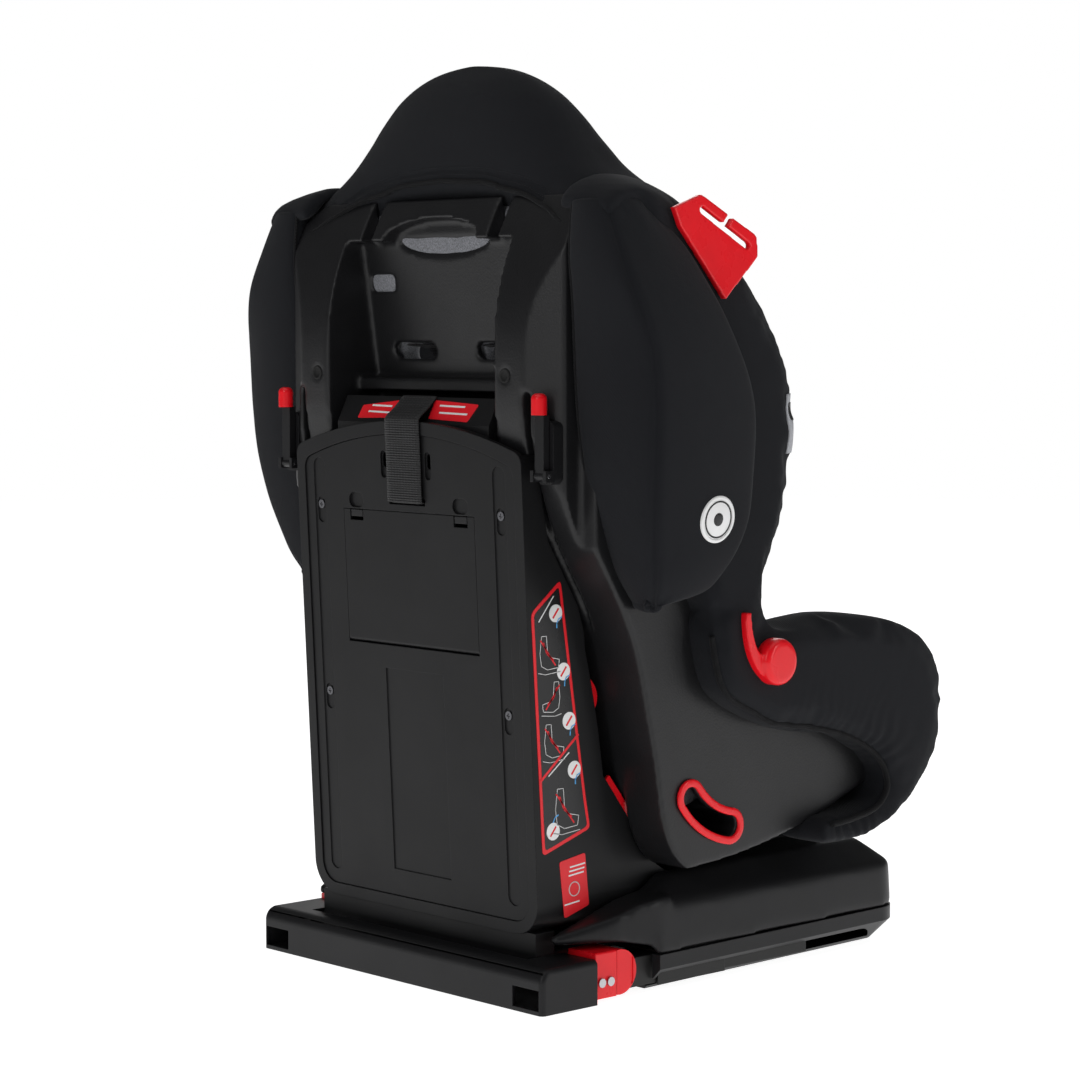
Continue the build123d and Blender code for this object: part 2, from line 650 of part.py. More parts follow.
def child_space():
    """Side outline of the hollow that the child sits in, open to the front and the top."""
    Polyline(
        (panel_y(112) - PANEL_THICK, pan_z(98)), (panel_y(700) - PANEL_THICK, 700), (-260, 700),
        (-260, pan_z(-150) + 4), (-150, pan_z(-150)), close=True,
    )


LAP_SLOT_OUTER, LAP_SLOT_INNER = 27.0, 16.0
HARNESS_X, HARNESS_Z = 46.5, 457.0       # harness slots through the back panel


def lap_slot_cut(x_low, x_high, height):
    """Curved slot for the vehicle's lap belt, as a solid between two X planes."""
    with BuildPart() as cut:
        with BuildSketch(Plane.YZ.offset(x_low)):
            with BuildLine():
                ThreePointArc((38, 114), (58, 121), (79, 139))
                offset(amount=height / 2)
            make_face()
        extrude(amount=x_high - x_low)
    return cut.part


TOP_ROUND, SCALLOP_HALF = 60.0, 55.0
HOLE_X, HOLE_Z, HOLE_R = 104.3, 440.5, 5.5     # blind holes in the frame strips
HOLE_FLOOR_Y = 200.5
HEAD_SLOT_X, HEAD_SLOT_Z = 74.0, 507.0         # head pad's slots
PULL_SLOT_Z = 190.0                            # slot that the adjuster's strap leaves by


def strap_groove(x, half):
    """Round-ended groove, sunk into the beam's sloping rear face."""
    with BuildPart() as cut:
        with BuildSketch(Plane.YZ.offset(x - half - 1)):
            with BuildLine():
                Polyline((172, 525), (200, 525), (190, 580), (153, 580), close=True)
            make_face()
        extrude(amount=2 * half + 2)
        with BuildSketch(Plane.XZ.offset(-BEHIND)):
            with Locations((x, 551.5)):
                SlotOverall(35, 2 * half, rotation=90)
        extrude(amount=200, mode=Mode.INTERSECT)
    return cut.part


def seat_shell():
    groove_x, groove_half = 70.0, 6.0
    with BuildPart() as shell:
        add(side_slab(shell_side, -SHELL_HALF, SHELL_HALF))
        inner = SHELL_HALF - SHELL_WALL
        add(side_slab(child_space, -inner, inner), mode=Mode.SUBTRACT)
        # window between the frame strips, and the recess below its ledge
        add(side_slab(lambda: rear_recess(WINDOW_LOW, WINDOW_HIGH), -STRIP_IN, STRIP_IN),
            mode=Mode.SUBTRACT)
        add(side_slab(lambda: rear_recess(300, WINDOW_LOW - 9), -STRIP_IN, STRIP_IN),
            mode=Mode.SUBTRACT)
        add(block((-STRIP_IN, STRIP_IN), (172, 230), (WINDOW_LOW - 12, WINDOW_LOW + 2)),
            mode=Mode.SUBTRACT)
        # strap grooves across the frame's top beam
        for x in (-groove_x, groove_x):
            add(strap_groove(x, groove_half), mode=Mode.SUBTRACT)
        # the beam's lower edge arches up in scallops, over a crescent hollow in the back panel
        with BuildSketch(Plane.XZ.offset(-BEHIND)):
            with BuildLine():
                ends = (-SCALLOP_HALF, WINDOW_HIGH - 1), (SCALLOP_HALF, WINDOW_HIGH - 1)
                ThreePointArc(ends[0], (0, WINDOW_HIGH + 9), ends[1])
                Line(ends[1], ends[0])
            make_face()
            for k in range(-3, 4):
                with Locations((14.5 * k, WINDOW_HIGH + 6 - 0.55 * k * k)):
                    Circle(7.6)
        extrude(amount=BEHIND - panel_y(WINDOW_HIGH), mode=Mode.SUBTRACT)
        with BuildSketch(Plane.XZ.offset(-BEHIND)):
            with Locations((0, WINDOW_HIGH + 2)):
                Ellipse(50, 14)
        extrude(amount=BEHIND - panel_y(WINDOW_HIGH) + 3.5, mode=Mode.SUBTRACT)
        # the top corners are rounded off
        for side in (-1, 1):
            with BuildSketch(Plane.XZ.offset(-BEHIND)):
                with BuildLine():
                    start = (side * (SHELL_HALF - TOP_ROUND), SHELL_TOP)
                    end = (side * SHELL_HALF, SHELL_TOP - TOP_ROUND)
                    RadiusArc(start, end, side * TOP_ROUND)
                    clear_x, clear_z = side * (SHELL_HALF + 15), SHELL_TOP + 17
                    Polyline(end, (clear_x, end[1]), (clear_x, clear_z), (start[0], clear_z), start)
                make_face()
            extrude(amount=400, mode=Mode.SUBTRACT)
        # blind holes in the strips
        with BuildSketch(Plane.XZ.offset(-BEHIND)):
            with Locations((-HOLE_X, HOLE_Z), (HOLE_X, HOLE_Z)):
                Circle(HOLE_R)
        extrude(amount=BEHIND - HOLE_FLOOR_Y, mode=Mode.SUBTRACT)
        # rear corners fall away beside the strips, where the side pads sit
        for side in (-1, 1):
            with BuildSketch(Plane.XY.offset(290)):
                with BuildLine():
                    Polyline(
                        (side * STRIP_OUT, 203), (side * 150, 187), (side * 150, 172),
                        (side * 170, 172), (side * 170, 230), (side * STRIP_OUT, 230), close=True,
                    )
                make_face()
            extrude(amount=300, mode=Mode.SUBTRACT)
        # belt slots through the side walls and harness slots through the back panel
        add(lap_slot_cut(-SHELL_HALF - 1, -120, LAP_SLOT_INNER), mode=Mode.SUBTRACT)
        add(lap_slot_cut(120, SHELL_HALF + 1, LAP_SLOT_INNER), mode=Mode.SUBTRACT)
        with BuildSketch(Plane.XZ.offset(-180)):
            with Locations((HARNESS_X, HARNESS_Z), (-HARNESS_X, HARNESS_Z)):
                SlotOverall(47, 12)
            with Locations((HEAD_SLOT_X, HEAD_SLOT_Z), (-HEAD_SLOT_X, HEAD_SLOT_Z)):
                RectangleRounded(26, 12, 2)
            with Locations((0, PULL_SLOT_Z)):
                SlotOverall(60, 14)
        extrude(amount=120, mode=Mode.SUBTRACT)
        # crotch strap slot and harness adjuster opening through the seat pan
        add(block((-26, 26), (-52, -40), (60, 200)), mode=Mode.SUBTRACT)
        add(block((-19, 19), (-142, -118), (60, 200)), mode=Mode.SUBTRACT)
        # slits that the tower's side walls stand in
        for low in (-TOWER_HALF - 1.5, TOWER_HALF - WALL - 1):
            add(side_slab(lambda: tower_side(-5, 10), low, low + WALL + 2.5), mode=Mode.SUBTRACT)
    save(shell.part, "seat_shell")
    return shell.part


def rear_recess(low, high):
    """Outline of the space behind the back panel between two heights."""
    Polyline((panel_y(low), low), (BEHIND, low), (BEHIND, high), (panel_y(high), high), close=True)


def lap_slot_bezels():
    """Rims round the lap belt slots."""
    proud, lip = 3.0, 0.6
    with BuildPart() as bezels:
        add(lap_slot_cut(-SHELL_HALF - proud, -SHELL_HALF - 0.02, LAP_SLOT_OUTER))
        add(lap_slot_cut(SHELL_HALF + 0.02, SHELL_HALF + proud, LAP_SLOT_OUTER))
        for x in (-SHELL_HALF - proud - 1, SHELL_HALF - proud - 1):
            add(lap_slot_cut(x, x + 2 * proud + 2, LAP_SLOT_INNER - lip), mode=Mode.SUBTRACT)
    save(bezels.part, "lap_slot_bezels")


def recline_parts():
    """Slider under the shell that runs in the base's slot, with the handle that frees it."""
    front_y, rear_y = -20.0, 34.0
    low, high = TRACK_R + 21, TRACK_R + 0.3

    def outline():
        Line((front_y, track_z(front_y, high)), (front_y, track_z(front_y, low)))
        RadiusArc((front_y, track_z(front_y, low)), (rear_y, track_z(rear_y, low)), -low)
        Line((rear_y, track_z(rear_y, low)), (rear_y, track_z(rear_y, high)))
        RadiusArc((rear_y, track_z(rear_y, high)), (front_y, track_z(front_y, high)), high)

    save(side_slab(outline, -SLOT_HALF + 3, SLOT_HALF - 3), "recline_slider")

    handle_y = -166.0
    with BuildPart() as handle:
        add(block((-34, 34), (handle_y - 12, handle_y), (88, 96)))
        fillet(handle.edges().filter_by(Axis.Z), 5)
        add(block((-7, 7), (handle_y, -100), (HANDLE_LOW, HANDLE_LOW + 6)))
    save(handle.part, "recline_handle")


def arm_hooks():
    """Guide that holds the vehicle's lap belt at the front of each arm rest."""
    with BuildPart() as hook:
        with BuildSketch(Plane.YZ.offset(-ARM_COVER_HALF - 16)):
            with Locations((23, 235)):
                Circle(17)
        extrude(amount=13)
        fillet(hook.edges().group_by(Axis.X)[0], 5)
        with BuildSketch(Plane.YZ.offset(-ARM_COVER_HALF - 10)):
            with BuildLine():
                Spline((26, 219), (44, 232), (53, 252), (55, 272))
                Line((55, 272), (50, 272))
                Spline((50, 272), (47, 254), (38, 240), (22, 240))
                Line((22, 240), (26, 219))
            make_face()
        extrude(amount=9)
    save_both(hook.part, "arm_hooks")


def shoulder_guides():
    """Slotted guide for the vehicle's shoulder belt at the top of each wing."""
    origin = (-WING_HALF - 3, 90, 540)
    blade = Plane(origin=origin, x_dir=(0, -0.86, -0.51), z_dir=(-1, 0, 0))
    with BuildPart() as guide:
        with BuildSketch(blade):
            with BuildLine():
                Polyline((-42, -6), (-24, 16), (38, 21), (47, 9), (34, -34), (-30, -14), close=True)
            make_face()
            fillet(vertices().group_by(Axis.Y)[-1] + vertices().group_by(Axis.X)[-1], 5)
            with Locations((8, 8.5)):
                SlotOverall(56, 5, rotation=3, mode=Mode.SUBTRACT)
            with Locations((8, 15)):
                Rectangle(5, 14, rotation=-8, mode=Mode.SUBTRACT)
        extrude(amount=5)
    save_both(guide.part, "shoulder_belt_guides")


LOCK_X, LOCK_Z, LOCK_FACE = -141.0, 372.0, 197.0
LOCK_AXIS_Y = LOCK_FACE + 3.6


def lockoffs(shell):
    """Clamp for the vehicle's shoulder belt on each side of the frame, with its lever."""
    lever_half, cheek, length = 4.5, 3.0, 42.0
    with BuildPart() as body:
        add(block((LOCK_X - 8, LOCK_X + 8), (188, LOCK_FACE), (LOCK_Z - 6, LOCK_Z + length - 4)))
        fillet(body.edges().filter_by(Axis.Y), 5)
        add(shell, mode=Mode.SUBTRACT)
        for x in (LOCK_X - 6.5, LOCK_X + 6.5):
            add(block((x - cheek / 2, x + cheek / 2), (LOCK_FACE - 1, LOCK_AXIS_Y + 3.5),
                      (LOCK_Z - 4, LOCK_Z + 4)))
        add(rod_x(LOCK_AXIS_Y, LOCK_Z, PIN_R + 0.02, LOCK_X - 20, LOCK_X + 20), mode=Mode.SUBTRACT)
    with BuildPart() as largest:
        add(body.part.solids().sort_by(SortBy.VOLUME)[-1])
    save_both(largest.part, "lockoff_bodies")

    with BuildPart() as lever:
        add(block((LOCK_X - lever_half, LOCK_X + lever_half), (LOCK_FACE + 0.5, LOCK_FACE + 6),
                  (LOCK_Z, LOCK_Z + length)))
        add(rod_x(LOCK_AXIS_Y, LOCK_Z, 3.2, LOCK_X - lever_half, LOCK_X + lever_half))
        add(rod_x(LOCK_AXIS_Y, LOCK_Z, PIN_R + 0.05, LOCK_X - 20, LOCK_X + 20), mode=Mode.SUBTRACT)
    save_pair(lever.part, "lockoff_lever")

    with BuildPart() as tip:
        with BuildSketch(Plane.XY.offset(LOCK_Z + length + 0.1)):
            with Locations((LOCK_X, LOCK_FACE + 6)):
                Circle(5.5)
        extrude(amount=15)
        fillet(tip.edges().group_by(Axis.Z)[-1], 4)
    save_pair(tip.part, "lockoff_tip")

    with BuildPart() as pin:
        add(rod_x(LOCK_AXIS_Y, LOCK_Z, PIN_R, LOCK_X - 8, LOCK_X + 8))
    save_both(pin.part, "lockoff_pins")


# ---------------------------------------------------------------- covers and pads
def wing_side():
    """Side outline of a head and body wing with its cover."""
    Spline(
        (150, 568), (100, 548), (57, 520), (13, 474), (-7, 420), (-6, 370), (4, 330), (20, 302),
        (46, 276),
    )
    Polyline((46, 276), (90, 276), (120, 300), (150, 330), (150, 568))


def arm_side():
    """Side outline of an arm rest with its cover, above and in front of the elastic hem."""
    Spline(
        (60, 268), (10, 262), (-24, 271), (-60, 274), (-108, 266), (-150, 245), (-173, 212),
        (-176, 170), (-160, 134), (-129, 114), (-95, 108),
    )
    Line((-95, 108), (-95, 123))
    Spline((-95, 123), (-119, 132), (-117, 153), (-81, 176), (-36, 188), (10, 192))
    Polyline((10, 192), (60, 200), (60, 268))


def soft_pair(outline, x_out, x_in, cutters, name):
    """Mirrored pair of soft pieces between two X distances, cut clear of their neighbours."""
    with BuildPart() as soft:
        add(side_slab(outline, -x_out, -x_in))
        for cutter in cutters:
            add(cutter, mode=Mode.SUBTRACT)
    with BuildPart() as kept:
        add(soft.part.solids().sort_by(SortBy.VOLUME)[-1])
    save_pair(kept.part, name)


def pod_side():
    """Side outline of a padded side-impact pod."""
    Spline(
        (184, 545), (160, 548), (127, 537), (92, 493), (58, 430), (43, 374), (47, 346), (60, 322),
        (81, 302), (106, 288), (135, 283),
    )
    Spline((135, 283), (160, 292), (180, 340), (190, 400), (190, 470), (184, 545))


def pod_back():
    """Rear outline of the right-hand pod, in an XZ plane."""
    Spline(
        (-188, 550), (-213, 505), (-227, 456), (-POD_HALF, 420), (-225, 378), (-215, 339),
        (-204, 300), (-190, 281),
    )
    Polyline((-190, 281), (-150.5, 290), (-150.5, 550), (-188, 550))


def side_pods():
    with BuildPart() as pod:
        add(side_slab(pod_side, -POD_HALF, -150.5))
        with BuildSketch(Plane.XZ.offset(-250)):
            with BuildLine():
                pod_back()
            make_face()
        extrude(amount=300, mode=Mode.INTERSECT)
        add(block((-WING_HALF - SOFT_GAP, -140), (-100, 172.5), (200, 600)), mode=Mode.SUBTRACT)
    save_pair(pod.part, "side_pod")


def head_cover():
    """Padded cover over the top of the shell."""
    def side():
        Spline((163, 574), (167, 600), (160, 635), (145, 656), (126, 663), (106, 655), (92, 630),
               (86, 600), (84, 574))
        Line((84, 574), (163, 574))

    with BuildPart() as dome:
        add(side_slab(side, -160, 160))
        with BuildSketch(Plane.XZ.offset(-250)):
            with BuildLine():
                Spline((148, 573), (119, 598), (98, 628), (70, 648), (40, 660), (0, 664.5),
                       (-40, 660), (-70, 648), (-98, 628), (-119, 598), (-148, 573))
                Line((-148, 573), (148, 573))
            make_face()
        extrude(amount=300, mode=Mode.INTERSECT)
    save(dome.part, "head_cover")


def cushions():
    def back_outline():
        thick = 24.0
        front = panel_y(0) - PANEL_THICK - thick
        near = panel_y(0) - PANEL_THICK - SOFT_GAP
        low, high = 150.0, 568.0
        Polyline(
            (near + PANEL_LEAN * low, low), (near + PANEL_LEAN * high, high),
            (front + PANEL_LEAN * high, high), (front + PANEL_LEAN * low, low), close=True,
        )

    with BuildPart() as back:
        add(side_slab(back_outline, -CUSHION_HALF, CUSHION_HALF))
        fillet(back.edges().filter_by(Axis.X).group_by(Axis.Z)[-1], 8)
        with BuildSketch(Plane.XZ.offset(-180)):
            with Locations((HARNESS_X, HARNESS_Z), (-HARNESS_X, HARNESS_Z)):
                SlotOverall(52, 17)
        extrude(amount=120, mode=Mode.SUBTRACT)
    save(back.part, "back_cushion")

    def seat_outline():
        Polyline((64, pan_z(64) + SOFT_GAP), (-150, pan_z(-150) + SOFT_GAP),
                 (-168, pan_z(-168) + SOFT_GAP), (-172, 132))
        Spline((-172, 132), (-186, 120), (-205, 132), (-REAR, 158), (-207, 180), (-185, 191),
               (-120, 187), (-20, 166), (64, 147))
        Line((64, 147), (64, pan_z(64) + SOFT_GAP))

    with BuildPart() as seat:
        add(side_slab(seat_outline, -CUSHION_HALF, CUSHION_HALF))
        add(block((-19, 19), (-142, -118), (60, 260)), mode=Mode.SUBTRACT)
        add(block((-27, 27), (-53, -39), (60, 260)), mode=Mode.SUBTRACT)
    save(seat.part, "seat_cushion")


# ---------------------------------------------------------------- harness
CUSHION_THICK = 24.0
CUSHION_FACE = panel_y(0) - PANEL_THICK - CUSHION_THICK    # front face, carried down to z = 0
BUCKLE_Y, BUCKLE_Z = -38.0, 210.0
BUCKLE_THICK = 14.0


def harness():
    slot_z, hip_z = 452.0, 270.0
    top = (CUSHION_FACE - 0.6 + PANEL_LEAN * slot_z, slot_z)
    hip = (CUSHION_FACE - 0.6 + PANEL_LEAN * hip_z, hip_z)
    end = (BUCKLE_Y - BUCKLE_THICK / 2, BUCKLE_Z + 26)

    def shoulder_run():
        """Webbing from its slot down the back cushion and forward to the buckle."""
        Polyline(top, hip, end, (end[0], end[1] + 2), (hip[0] - 1.8, hip[1] + 1.5),
                 (top[0] - 1.5, top[1]), close=True)

    def pad_run():
        low, high, thick = 290.0, 425.0, 9.0
        base = CUSHION_FACE - 2.6
        Polyline(
            (base + PANEL_LEAN * low, low), (base + PANEL_LEAN * high, high),
            (base - thick + PANEL_LEAN * high, high), (base - thick + PANEL_LEAN * low, low),
            close=True,
        )

    with BuildPart() as pad:
        add(side_slab(pad_run, -71, -15))
        fillet(pad.edges().filter_by(Axis.X), 3)
    save_both(pad.part, "shoulder_pads")

    with BuildPart() as webbing:
        add(side_slab(shoulder_run, -62, -24))
        with BuildSketch(Plane.XY.offset(BUCKLE_Z - 16)):
            with BuildLine():
                Polyline((-45, -46), (-100, -20), (-131, 55), (-129.4, 55.6), (-98.8, -18.9),
                         (-45, -44.4), close=True)
            make_face()
        extrude(amount=32)
    save_both(webbing.part, "harness_webbing")

    with BuildPart() as tongues:
        for side in (-1, 1):
            low, high = sorted((side * 24.5, side * 62))
            add(block((low, high), (-47.5, -45), (BUCKLE_Z + 22.4, BUCKLE_Z + 25.8)))
            low, high = sorted((side * 31, side * 44.7))
            add(block((low, high), (-47.5, -45), (BUCKLE_Z - 18, BUCKLE_Z + 25.8)))
    save(tongues.part, "buckle_tongues")

    with BuildPart() as crotch:
        add(block((-19, 19), (-46, -44.5), (100, BUCKLE_Z - 22.4)))
    save(crotch.part, "crotch_strap")

    with BuildPart() as crotch_pad:
        with BuildSketch(Plane.XZ.offset(47)):
            with Locations((0, BUCKLE_Z - 28)):
                RectangleRounded(56, 9, 3)
        extrude(amount=7)
    save(crotch_pad.part, "crotch_pad")

    well, travel_room = 26.0, 9.0
    front = BUCKLE_Y - BUCKLE_THICK
    with BuildPart() as buckle:
        with BuildSketch(Plane.XZ.offset(-BUCKLE_Y)):
            with Locations((0, BUCKLE_Z)):
                RectangleRounded(60, 44, 9)
        extrude(amount=BUCKLE_THICK)
        fillet(buckle.edges().group_by(Axis.Y)[0], 3)
        with BuildSketch(Plane.XZ.offset(-front + 1)):
            with Locations((0, BUCKLE_Z)):
                RectangleRounded(well, well, 3)
        extrude(amount=-travel_room - 1, mode=Mode.SUBTRACT)
    save(buckle.part, "buckle")

    with BuildPart() as button:
        with BuildSketch(Plane.XZ.offset(-front + 1.2)):
            with Locations((0, BUCKLE_Z)):
                RectangleRounded(well - 2 * CLEAR, well - 2 * CLEAR, 2.6)
        extrude(amount=-5)
        fillet(button.edges().group_by(Axis.Y)[0], 1)
    save(button.part, "buckle_button")

    # strap adjuster at the front of the seat, with its release button
    adjuster_z = 186.0
    with BuildPart() as adjuster:
        add(block((-18.5, 18.5), (-141.5, -118.5), (adjuster_z - 16, adjuster_z)))
        add(block((-13, 13), (-137, -126), (adjuster_z - 8, adjuster_z + 1)), mode=Mode.SUBTRACT)
    save(adjuster.part, "adjuster_case")
    with BuildPart() as press:
        add(block((-13 + CLEAR, 13 - CLEAR), (-137 + CLEAR, -126 - CLEAR),
                  (adjuster_z - 2.5, adjuster_z + 2.5)))
        fillet(press.edges().group_by(Axis.Z)[-1], 1)
    save(press.part, "adjuster_button")

    with BuildPart() as pull:
        with BuildSketch(Plane.YZ.offset(-15)):
            with BuildLine():
                Polyline((-141.8, 192.5), (-160, 196.5), (-186, 196), (-209, 185), (-210.2, 186),
                         (-186.4, 197.5), (-160, 198), (-141.8, 194), close=True)
            make_face()
        extrude(amount=30)
    save(pull.part, "adjuster_strap")

    # yoke that joins the harness straps behind the seat
    yoke_z = 360.0
    with BuildPart() as yoke:
        with BuildSketch(Plane.XZ.offset(-panel_y(yoke_z) - 8)):
            with Locations((0, yoke_z)):
                RectangleRounded(90, 46, 8)
            with Locations((0, yoke_z + 13)):
                Rectangle(78, 6, mode=Mode.SUBTRACT)
            with Locations((0, yoke_z - 13)):
                Rectangle(44, 6, mode=Mode.SUBTRACT)
        extrude(amount=2.5)
    save(yoke.part, "harness_yoke")


def labels():
    """Stickers: one large and one small on each side of the tower."""
    thick = 0.5
    with BuildPart() as stickers:
        for side in (-1, 1):
            base = side * TOWER_HALF
            plane = Plane.YZ.offset(base if side > 0 else base - thick)
            with BuildSketch(plane):
                with BuildLine():
                    Polyline((196, 276), (168, 298), (151, 188), (143, 139), (139, 119),
                             (185, 104), close=True)
                make_face()
                with BuildLine():
                    Polyline((169, 98), (144, 102), (140, 64), (164, 57), close=True)
                make_face()
            extrude(amount=thick)
    save(stickers.part, "side_labels")


tower_housing()
tower_panel()
storage_door()
tower_hood()
tower_frame()
tether()
belt_guides()
base_tub()
base_pedestal(base_cover())
isofix_parts()
guide_bar()
shell_part = seat_shell()
lap_slot_bezels()
recline_parts()
arm_hooks()
shoulder_guides()
lockoffs(shell_part)
soft_pair(wing_side, WING_HALF, LINING_IN, [shell_part], "wing_cover")
soft_pair(arm_side, ARM_COVER_HALF, LINING_IN, [shell_part], "arm_cover")
side_pods()
head_cover()
cushions()
harness()
labels()
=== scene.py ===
"""Looks of the child car seat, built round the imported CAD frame. Lengths are in metres, in the row frame."""

import json
import math

import bmesh
import bpy
import numpy as np
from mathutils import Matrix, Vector
from mathutils.bvhtree import BVHTree
from mathutils.kdtree import KDTree


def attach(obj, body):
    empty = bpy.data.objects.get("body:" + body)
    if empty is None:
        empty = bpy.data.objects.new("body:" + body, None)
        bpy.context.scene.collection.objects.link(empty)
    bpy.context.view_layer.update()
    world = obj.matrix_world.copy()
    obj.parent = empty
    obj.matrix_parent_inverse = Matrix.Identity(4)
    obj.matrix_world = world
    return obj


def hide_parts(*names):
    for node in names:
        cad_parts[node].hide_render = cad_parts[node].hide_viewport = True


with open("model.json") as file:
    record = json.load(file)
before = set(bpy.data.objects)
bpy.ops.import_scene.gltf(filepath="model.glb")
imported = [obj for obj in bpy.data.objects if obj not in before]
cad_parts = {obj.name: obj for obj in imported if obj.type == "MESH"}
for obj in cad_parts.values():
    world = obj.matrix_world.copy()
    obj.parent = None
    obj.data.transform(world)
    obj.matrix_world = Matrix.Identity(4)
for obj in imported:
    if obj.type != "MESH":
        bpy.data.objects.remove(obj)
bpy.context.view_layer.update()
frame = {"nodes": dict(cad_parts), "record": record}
NODES = frame["nodes"]
MM = 0.001

# ---------------------------------------------------------------- camera, floor and light
CAMERA_PLACE = (-1.638, 1.584, 0.475)
CAMERA_HEADING = math.radians(42.71)      # below the +X axis, seen from above
CAMERA_PITCH = math.radians(4.12)         # below the horizon
CAMERA_LENS = 98.97
SENSOR = 36.0
WORLD_LIGHT, BACKDROP = 0.085, 1.0
FLOOR_REACH, FLOOR_DROP, FLOOR_GLOW = 6.0, -0.0005, 0.93


def add_camera():
    data = bpy.data.cameras.new("camera")
    data.lens = CAMERA_LENS
    data.sensor_width = SENSOR
    data.clip_end = 50
    camera = bpy.data.objects.new("camera", data)
    bpy.context.scene.collection.objects.link(camera)
    camera.location = CAMERA_PLACE
    level = math.cos(CAMERA_PITCH)
    aim = Vector((level * math.cos(CAMERA_HEADING), -level * math.sin(CAMERA_HEADING),
                  -math.sin(CAMERA_PITCH)))
    camera.rotation_euler = aim.to_track_quat("-Z", "Y").to_euler()
    bpy.context.scene.camera = camera


def add_area_light(name, place, aim, size, power):
    data = bpy.data.lights.new(name, "AREA")
    data.shape = "RECTANGLE"
    data.size, data.size_y = size
    data.energy = power
    light = bpy.data.objects.new(name, data)
    bpy.context.scene.collection.objects.link(light)
    light.location = place
    light.rotation_euler = (Vector(aim) - Vector(place)).to_track_quat("-Z", "Y").to_euler()


def add_world():
    """Soft grey light from all round, seen as a white backdrop."""
    world = bpy.data.worlds.new("studio")
    world.use_nodes = True
    tree = world.node_tree
    light = tree.nodes["Background"]
    light.inputs["Color"].default_value = (1, 1, 1, 1)
    light.inputs["Strength"].default_value = WORLD_LIGHT
    backdrop = tree.nodes.new("ShaderNodeBackground")
    backdrop.inputs["Color"].default_value = (1, 1, 1, 1)
    backdrop.inputs["Strength"].default_value = BACKDROP
    mix = tree.nodes.new("ShaderNodeMixShader")
    seen = tree.nodes.new("ShaderNodeLightPath")
    tree.links.new(seen.outputs["Is Camera Ray"], mix.inputs[0])
    tree.links.new(light.outputs[0], mix.inputs[1])
    tree.links.new(backdrop.outputs[0], mix.inputs[2])
    tree.links.new(mix.outputs[0], tree.nodes["World Output"].inputs["Surface"])
    bpy.context.scene.world = world


def add_studio():
    add_world()
    middle = (0, 0, 0.35)
    add_area_light("key", (-0.75, 2.6, 1.5), middle, (0.4, 1.6), 13)
    add_area_light("side", (-2.6, -1.1, 1.0), middle, (0.4, 1.6), 12)
    add_area_light("fill", (1.9, -2.0, 1.6), middle, (1.4, 1.4), 13)
    add_area_light("ceiling", (0, 0, 3.6), (0, 0, 0), (4.5, 4.5), 48)
    bpy.context.scene.view_settings.view_transform = "Standard"
    mesh = bpy.data.meshes.new("floor")
    turns = np.linspace(0, 2 * math.pi, 64, endpoint=False)
    rim = [(FLOOR_REACH * math.cos(t), FLOOR_REACH * math.sin(t), FLOOR_DROP) for t in turns]
    mesh.from_pydata(rim, [], [tuple(range(len(rim)))])
    floor = bpy.data.objects.new("floor", mesh)
    bpy.context.scene.collection.objects.link(floor)
    paper = Shader("floor_paper", (0.6, 0.6, 0.6), 0.9, Emission_Color=(1, 1, 1, 1),
                   Emission_Strength=FLOOR_GLOW)
    paper.bump(paper.noise(60, 2), 0.02)
    floor.data.materials.append(paper.material)


